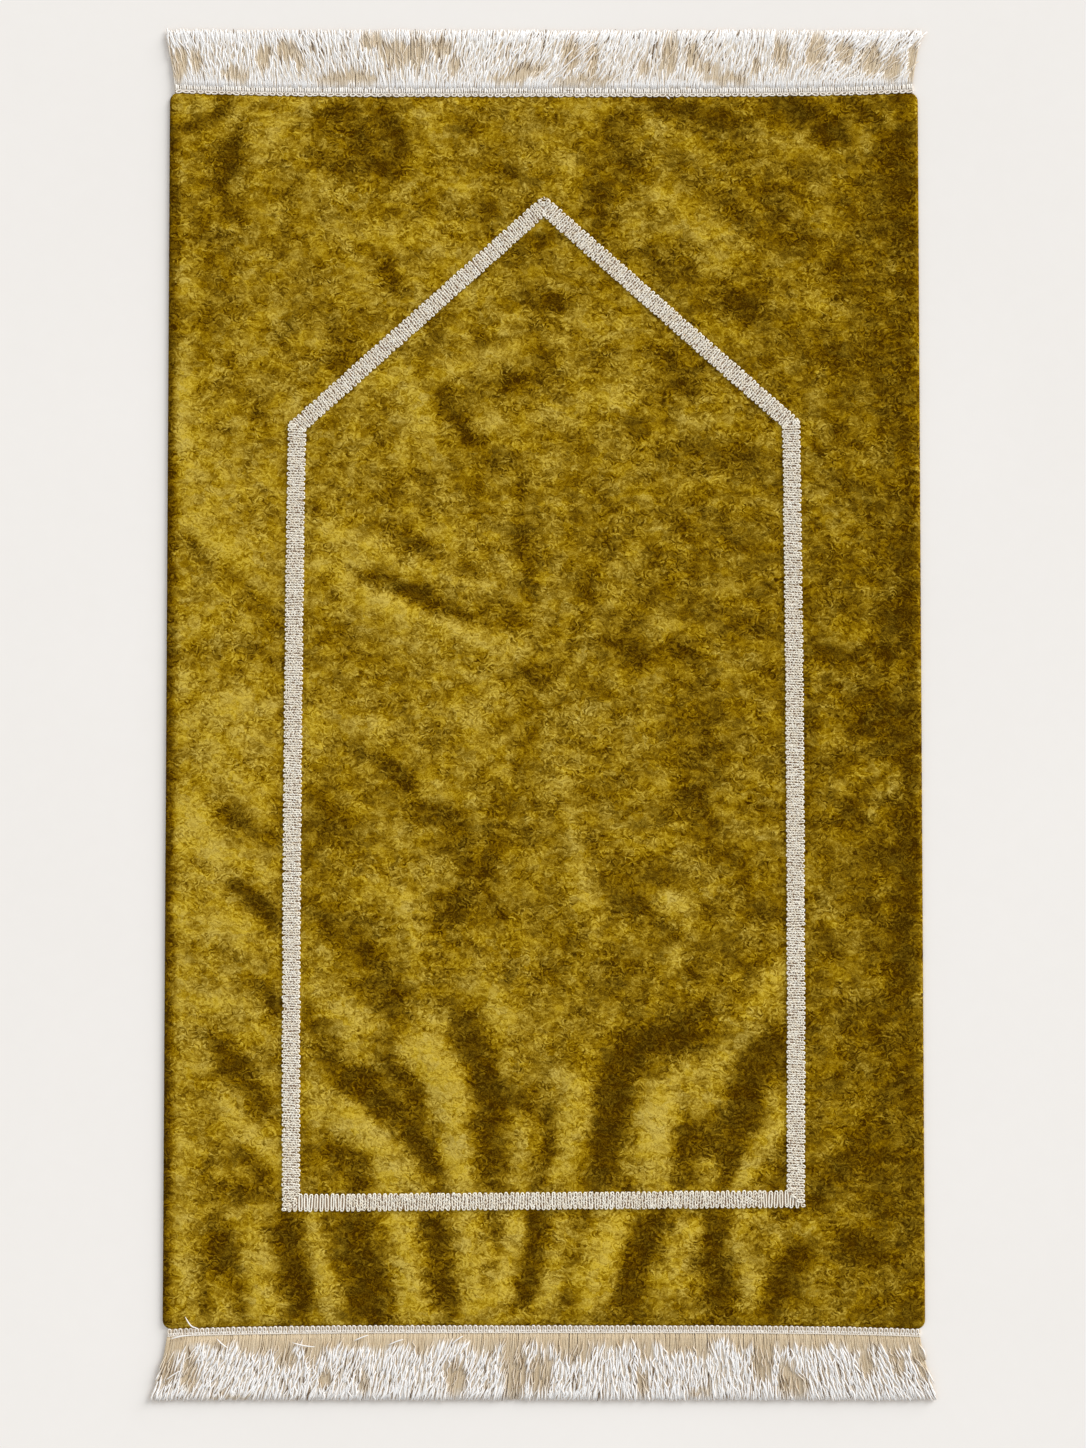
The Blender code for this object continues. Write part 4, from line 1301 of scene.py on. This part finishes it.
# %% Lay the whole threads
Layer = namedtuple("Layer", "name count points radius rise tip_rise wave skew white tip_white")
LAYERS = (
    Layer("under", 600, 6, 0.00074, 0.0029, 0.0018, 0, 0.0004, 0.2, 0.5),
    Layer("locks", 560, 12, 0.0008, 0.0034, 0.0024, 0.7, 0.0012, 0.5, 0.5),
)
FRINGE_ROOT = 0.0062            # where the threads start, out from the velvet
FRINGE_HALF = 0.3495            # the furthest that a thread may lean out
FRINGE_END = {"head": 0.619, "foot": 0.6168}
FAN_REACH = {"head": 0.008, "foot": 0.016}      # how far the outermost locks lean outwards
FAN_EVEN = 0.25
LOCK_SHORT = {"head": 0.006, "foot": 0.0012}    # how much shorter the shortest lock is
LEAN_PLACES = {                 # the crimped parts' lean to the right, going out, in degrees
    "head": ((-0.33, -16), (-0.28, -2), (-0.21, -18), (-0.17, -3), (-0.14, -8), (-0.10, 8), (-0.03, 25),
             (0.04, 32), (0.11, 13), (0.15, 26), (0.19, 13), (0.22, 15), (0.26, 40), (0.33, 38)),
    "foot": ((-0.33, -23), (-0.26, -22), (-0.22, -14), (-0.18, -19), (-0.14, -12), (-0.06, -22),
             (0.00, -9), (0.05, -8), (0.08, 6), (0.15, 1), (0.22, 5), (0.25, 16), (0.33, 26)),
}
LEAN_SHARE = 0.35               # how much of that the whole threads lean
LEAN_POWER = 1.3                # they lean more towards their tips
LOCK_BACK = 0.0004              # how far the threads below stay behind the crimped locks
LOCK_SWAY = 0.0006              # side to side
LOCK_WAVE = 0.0115              # length of one wave
LOCK_TIP = 0.85                 # how thick the tip is
# painted highlight: at the head the threads start whiter near their roots
ROOT_SHEEN = {"head": 0.5, "foot": 0}           # how much whiter they start
ROOT_DROP = 0.0003              # how much lower they start


def local_lean(end, x):
    """How far the yarn leans to the right for each metre out."""
    return np.tan(np.radians(np.interp(x, *zip(*LEAN_PLACES[end]))))


def thread_lean(trim, root, length):
    """How far the tip of a whole thread lies to the right of its root."""
    share = root / TRIM_HALF
    lean = FAN_REACH[trim.end] * (FAN_EVEN * share + (1 - FAN_EVEN) * share ** 5)
    lean = lean + LEAN_SHARE * length * local_lean(trim.end, root) * (1 - share ** 4)
    lean += 0.0024 * slow_noise(root * 30, 0, 20 + trim.side)
    return lean + 0.0016 * slow_noise(root * 110, 0, 30 + trim.side)


def fringe_reach(trim, root):
    """How far out from the velvet the cut edge lies."""
    return FRINGE_END[trim.end] - trim.side * end_line(root, trim.side)


def root_drop(out, reach):
    """How much lower a thread lies near its root."""
    return ROOT_DROP * (1 - smooth_step((out - FRINGE_ROOT) / reach))


def fringe_layer(trim, layer, rng):
    count = layer.count
    root = spaced(-TRIM_HALF, TRIM_HALF, count) + rng.uniform(-0.5, 0.5, count) * 2 * TRIM_HALF / count
    length = fringe_reach(trim, root) - LOCK_BACK - LOCK_SHORT[trim.end] * rng.random(count) ** 1.5
    length = length - FRINGE_ROOT
    part = np.linspace(0, 1, layer.points)[None, :]
    out = FRINGE_ROOT + length[:, None] * part
    lean = thread_lean(trim, root, length) + layer.skew * rng.normal(0, 0.6, count)
    lean = np.clip(root + lean, -FRINGE_HALF, FRINGE_HALF) - root
    x = root[:, None] + lean[:, None] * part ** LEAN_POWER
    white = crimp_and_sheen(trim.end, x, out)
    phase = rng.uniform(0, tau, count)[:, None]
    wave = LOCK_WAVE * rng.uniform(0.7, 1.5, count)[:, None]
    sway = LOCK_SWAY * layer.wave * (0.3 + 0.7 * white) * rng.uniform(0.4, 1.6, count)[:, None]
    x = x + sway * np.minimum(part * 5, 1) * np.sin(tau * out / wave + phase)
    z = layer.tip_rise + (layer.rise - layer.tip_rise) * (1 - part) - root_drop(out, 0.006)
    z = z + jitter(rng, 0.0004, count)[:, None] * np.sin(tau * out / 0.017 + 2 * phase)
    z = z - 0.0007 * (1 - white) * (layer.wave > 0)
    taper = np.minimum(1, (1 - part) * 5 + LOCK_TIP)
    radii = layer.radius * taper * rng.uniform(0.8, 1.2, count)[:, None] * (0.75 + 0.25 * white)
    y = trim.side * (np.abs(end_line(root, trim.side))[:, None] + out)
    lines = np.stack([x, y, np.maximum(z, radii + 0.0001)], axis=2)
    near = 1 - smooth_step((out - FRINGE_ROOT - 0.004) / 0.008)
    # each layer's painted sheen, with a painted highlight towards the tips
    share = layer.white + layer.tip_white * smooth_step((part - 0.8) / 0.15)
    return thread_mesh(trim.end + "_fringe_" + layer.name, lines, radii, 4, tone=jitter(rng, 1, (count, 1)),
                       white=white * (share + ROOT_SHEEN[trim.end] * near))


fringes = {}
for trim in TRIMS:
    rng = np.random.default_rng(trim.seed + 100)
    fringes[trim.end] = [fringe_layer(trim, layer, rng) for layer in LAYERS]

# %% Lay the crimped locks on top
CRIMP_COLUMNS = 205
CRIMP_ROWS = 11
CRIMP_RADIUS = 0.00092
CRIMP_LENGTHS = (0.008, 0.019)
CRIMP_START = 0.002             # how far past the roots they start
CRIMP_RISE = 0.0035
CRIMP_ARCH = 0.0022             # how far their ends bend down
CRIMP_LIFT = {"head": -0.0002, "foot": 0.0004}
CRIMP_DROP = {"head": 0.0008, "foot": 0.0006}   # how much lower the last ones lie
CRIMP_DROP_PLACE = 0.06
CRIMP_KEEP = (0.12, 0.85)       # how white the fringe has to be for one
THIN_SHARE = 0.35               # how many lie on the tan places all the same
THIN_START = 0.014              # those lie at least this far past the roots
THIN_RADIUS = 0.72
SLIT_SHARE = 0.06
SLIT_RADIUS = 0.5
CRIMP_PARTS = np.array((-0.5, -0.275, 0, 0.275, 0.5))
CRIMP_TAPER = (0.2, 0.8, 1, 0.95, 0.7)


def fringe_crimps(trim, rng):
    """Short pointed locks, white with painted sheen, lying wherever the yarn is crimped."""
    column, row = [part.ravel() for part in np.meshgrid(np.arange(CRIMP_COLUMNS), np.arange(CRIMP_ROWS))]
    count = column.size
    root = -TRIM_HALF + (column + rng.random(count)) * 2 * TRIM_HALF / CRIMP_COLUMNS
    reach = fringe_reach(trim, root)
    part = (row + rng.random(count)) / CRIMP_ROWS
    length = rng.uniform(*CRIMP_LENGTHS, count)
    out = FRINGE_ROOT + CRIMP_START + (reach - FRINGE_ROOT - CRIMP_START) * part
    out = np.minimum(out, reach - 0.46 * length - 0.0022 * rng.random(count) ** 1.5)
    out = np.maximum(out, FRINGE_ROOT + 0.5 * length)
    share = (out - FRINGE_ROOT) / (reach - FRINGE_ROOT)
    x = root + thread_lean(trim, root, reach - FRINGE_ROOT) * share ** LEAN_POWER
    white = crimp_and_sheen(trim.end, x, out)
    keep = white > rng.uniform(*CRIMP_KEEP, count)
    keep |= (out > FRINGE_ROOT + THIN_START) & (rng.random(count) < THIN_SHARE)
    thin = np.where(white < 0.5, THIN_RADIUS, 1)[keep, None]
    x, out, length, count = x[keep], out[keep], length[keep, None], int(keep.sum())
    lean = (np.arctan(local_lean(trim.end, x)) + rng.normal(0, 0.13, count))[:, None]
    bow = rng.normal(0, 0.0007, count)[:, None] * np.sin(tau * CRIMP_PARTS + rng.uniform(0, pi, (count, 1)))
    far = length * CRIMP_PARTS
    across = np.clip(x[:, None] + far * np.sin(lean) + bow, -FRINGE_HALF, FRINGE_HALF)
    out = out[:, None] + far * np.cos(lean)
    z = CRIMP_RISE + jitter(rng, 0.0003, (count, 1)) - CRIMP_ARCH * CRIMP_PARTS ** 2 - root_drop(out, 0.008)
    z = z + CRIMP_LIFT[trim.end] - CRIMP_DROP[trim.end] * (out / CRIMP_DROP_PLACE) ** 4
    y = trim.side * (np.abs(end_line(x, trim.side))[:, None] + out)
    radii = CRIMP_RADIUS * thin * rng.uniform(0.75, 1.2, (count, 1)) * CRIMP_TAPER
    tone = jitter(rng, 1, (count, 1))
    white = np.clip(1.5 * crimp_and_sheen(trim.end, across, out), 0, 1)
    # a few thin dark ones are painted shade for the slits between locks
    slit = rng.random((count, 1)) < SLIT_SHARE
    return thread_mesh(trim.end + "_fringe_crimps", np.stack([across, y, z], axis=2),
                       np.where(slit, SLIT_RADIUS * radii, radii), 4,
                       white=np.where(slit, -1, white), tone=tone)


for trim in TRIMS:
    fringes[trim.end].append(fringe_crimps(trim, np.random.default_rng(trim.seed + 200)))

# %% Lay a few stray threads
# Each row, in 0.1 mm: x and y of both ends and how far it bows. Then its whiteness in tenths.
STRAY_ROWS = {
    "head": (
        (62,5718,452,6052,10,9), (364,5822,465,5973,8,9), (491,5724,588,5894,-6,9), (795,5764,913,5973,6,9),
        (173,5887,264,5993,5,9), (1106,5566,1139,5540,4,9), (-744,5610,-517,5612,2,-8),
        (-281,5610,-120,5613,2,-8), (137,5624,301,5624,2,-8),
    ),
    "foot": (
        (-3195,-5424,-3093,-5520,-30,9), (-2914,-5615,-2818,-5696,-8,9), (-2239,-5652,-2039,-5689,-8,9),
        (-1691,-5637,-1564,-5586,4,9), (-1386,-5674,-1252,-5623,4,9), (-821,-5665,-721,-5593,4,9),
        (-3330,-5621,-3152,-5586,5,9), (-3364,-5983,-3240,-5903,5,9),
    ),
}
STRAY_RADIUS = 0.00062
STRAY_RISE = 0.0056
DASH_RISE = 0.0036              # the dark ones are dashes in the heading


def make_strays(trim):
    """Single threads that lie across the rest."""
    rows = np.array(STRAY_ROWS[trim.end])[:, None] / ((1e4,) * 5 + (10,))
    part = np.linspace(0, 1, 8)[:, None]
    lines = rows[..., :2] + (rows[..., 2:4] - rows[..., :2]) * part
    lines[..., 1:] += rows[..., 4:5] * np.sin(pi * part)
    white = rows[..., 5:]
    z = np.where(white > 0, STRAY_RISE, DASH_RISE) + 0 * part
    radii = STRAY_RADIUS * np.where(white > 0, 1, 0.5) * np.minimum(1, 0.3 + 4 * part * (1 - part))
    return thread_mesh(trim.end + "_fringe_strays", np.concatenate([lines, z], axis=2), radii[..., 0], 5,
                       white=white[..., 0], tone=0.5)


for trim in TRIMS:
    fringes[trim.end].append(make_strays(trim))

# %% [markdown]
# ## Yarn finishes
#
# The braid is a dull cream cotton cord over a darker tape, and the fringe is glossy rayon. Each
# finish reads the numbers that its threads carry: one paints shade on the sides of a thread, darker
# than its top, `tone` makes neighbours differ a little, and one turns the tan of straight rayon into
# white as a painted sheen, or below zero into the painted shade of a slit. Fine twist lines are a bump.

# %% Make the yarn materials
# Each: painted shade for the sides of a thread, then the deep and the pale colour of its top
CREAM = ((0.5, 0.36, 0.215), (0.77, 0.67, 0.505), (0.99, 0.965, 0.865))     # side, deep and pale
BRIGHT = ((0.7, 0.57, 0.41), (0.8, 0.715, 0.6), (0.96, 0.93, 0.88))
TAN = ((0.56, 0.4, 0.22), (0.61, 0.475, 0.295), (0.715, 0.59, 0.4))
SHEEN_WHITE = ((0.72, 0.53, 0.32), (0.905, 0.9, 0.89), (0.945, 0.95, 0.96))
SLIT = (0.18, 0.11, 0.05)       # where the light hardly gets between the locks
# painted shade for the dark dots among the floats
HOLE_SHADE = (0.26, 0.135, 0.055)     # where it hardly gets between the floats
TAPE_COLOUR = (0.56, 0.42, 0.29)
STRIP_COLOUR = (0.82, 0.7, 0.53)


def thread_colour(tree, crown_shade, shade, colours):
    """Painted shade on the sides of a thread, and along its top a colour between the deep and the pale one.
    """
    side, deep, pale = colours
    return blend(tree, crown_shade, side, blend(tree, shade, deep, pale))


def cord_material(name, colours):
    material, tree, place = new_material(name)
    tone = mark(tree, "tone")
    shade = mul_add(tree, soft_noise(tree, place, 240, 3, 0.6), 0.25, mul_add(tree, tone, 0.25, 0.55),
                    clamp=True)
    # painted shade on the thread's sides
    crown_shade = smooth_rise(tree, mark(tree, "crown_shade"), -0.3, 0.6)
    # a very low tone gives the painted shade colour of a gap
    hole_shade = mul_add(tree, tone, -1, -3, clamp=True)
    colour = blend(tree, hole_shade, thread_colour(tree, crown_shade, shade, colours), HOLE_SHADE)
    twist = soft_noise(tree, place, 1500, 2, 0.6)
    return finish(material, colour, 0.6, 0.3, 0.15, twist, 0.0002)


def strip_material(name, colour):
    material, tree, place = new_material(name)
    weave = soft_noise(tree, stretched(tree, place, (1, 3, 1)), 900, 2, 0.6)
    shade = mul_add(tree, weave, 0.3, 0.5, clamp=True)
    return finish(material, blend(tree, shade, tuple(0.7 * part for part in colour), colour), 0.8)


def rayon_material():
    material, tree, place = new_material("shiny_rayon")
    streak = soft_noise(tree, stretched(tree, place, (1, 8, 1)), 700, 3, 0.6)
    shade = mul_add(tree, streak, 0.3, mul_add(tree, mark(tree, "tone"), 0.3, 0.5), clamp=True)
    # painted shade on the thread's sides
    crown_shade = smooth_rise(tree, mark(tree, "crown_shade"), -0.2, 0.6)
    # painted sheen: the crimped yarn turns from tan to white; below zero, the painted shade of a slit
    white = mark(tree, "white")
    lit = blend(tree, calc(tree, "ADD", white, 0, clamp=True),
                *[thread_colour(tree, crown_shade, shade, colours) for colours in (TAN, SHEEN_WHITE)])
    slit = calc(tree, "MULTIPLY", white, -1, clamp=True)
    return finish(material, blend(tree, slit, lit, SLIT), 0.45, 0.35, 0.1)


cream = cord_material("cream_cord", CREAM)
bright = cord_material("bright_cord", BRIGHT)
rayon = rayon_material()
trim_ground = strip_material("trim_ground", STRIP_COLOUR)
braid_tape.data.materials.append(strip_material("braid_ground", TAPE_COLOUR))
for piece in (braid_loops, braid_floats):
    piece.data.materials.append(cream)
for strip, *threads in trims.values():
    strip.data.materials.append(trim_ground)
    for piece in threads:
        piece.data.materials.append(bright)
for piece in fringes["head"] + fringes["foot"]:
    piece.data.materials.append(rayon)
print("yarn finishes are on")

# %% [markdown]
# ## Attach the pieces
#
# Every piece rides on the rug's one body, and the imported solid that it stands in for is hidden.
# The triangles of the velvet and of everything that is sewn on it are counted.


def hand_over(piece, node):
    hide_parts(node)
    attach(piece, "root")


hand_over(velvet, "velvet_cloth")
sewn_on = [braid_tape, braid_loops, braid_floats]
for piece in sewn_on:
    hand_over(piece, "niche_braid")
for trim in TRIMS:
    for piece in trims[trim.end] + fringes[trim.end]:
        hand_over(piece, trim.end + "_fringe")
        sewn_on.append(piece)
total = sum(len(face.vertices) - 2 for piece in [velvet] + sewn_on for face in piece.data.polygons)
print(1 + len(sewn_on), "pieces,", total, "triangles")
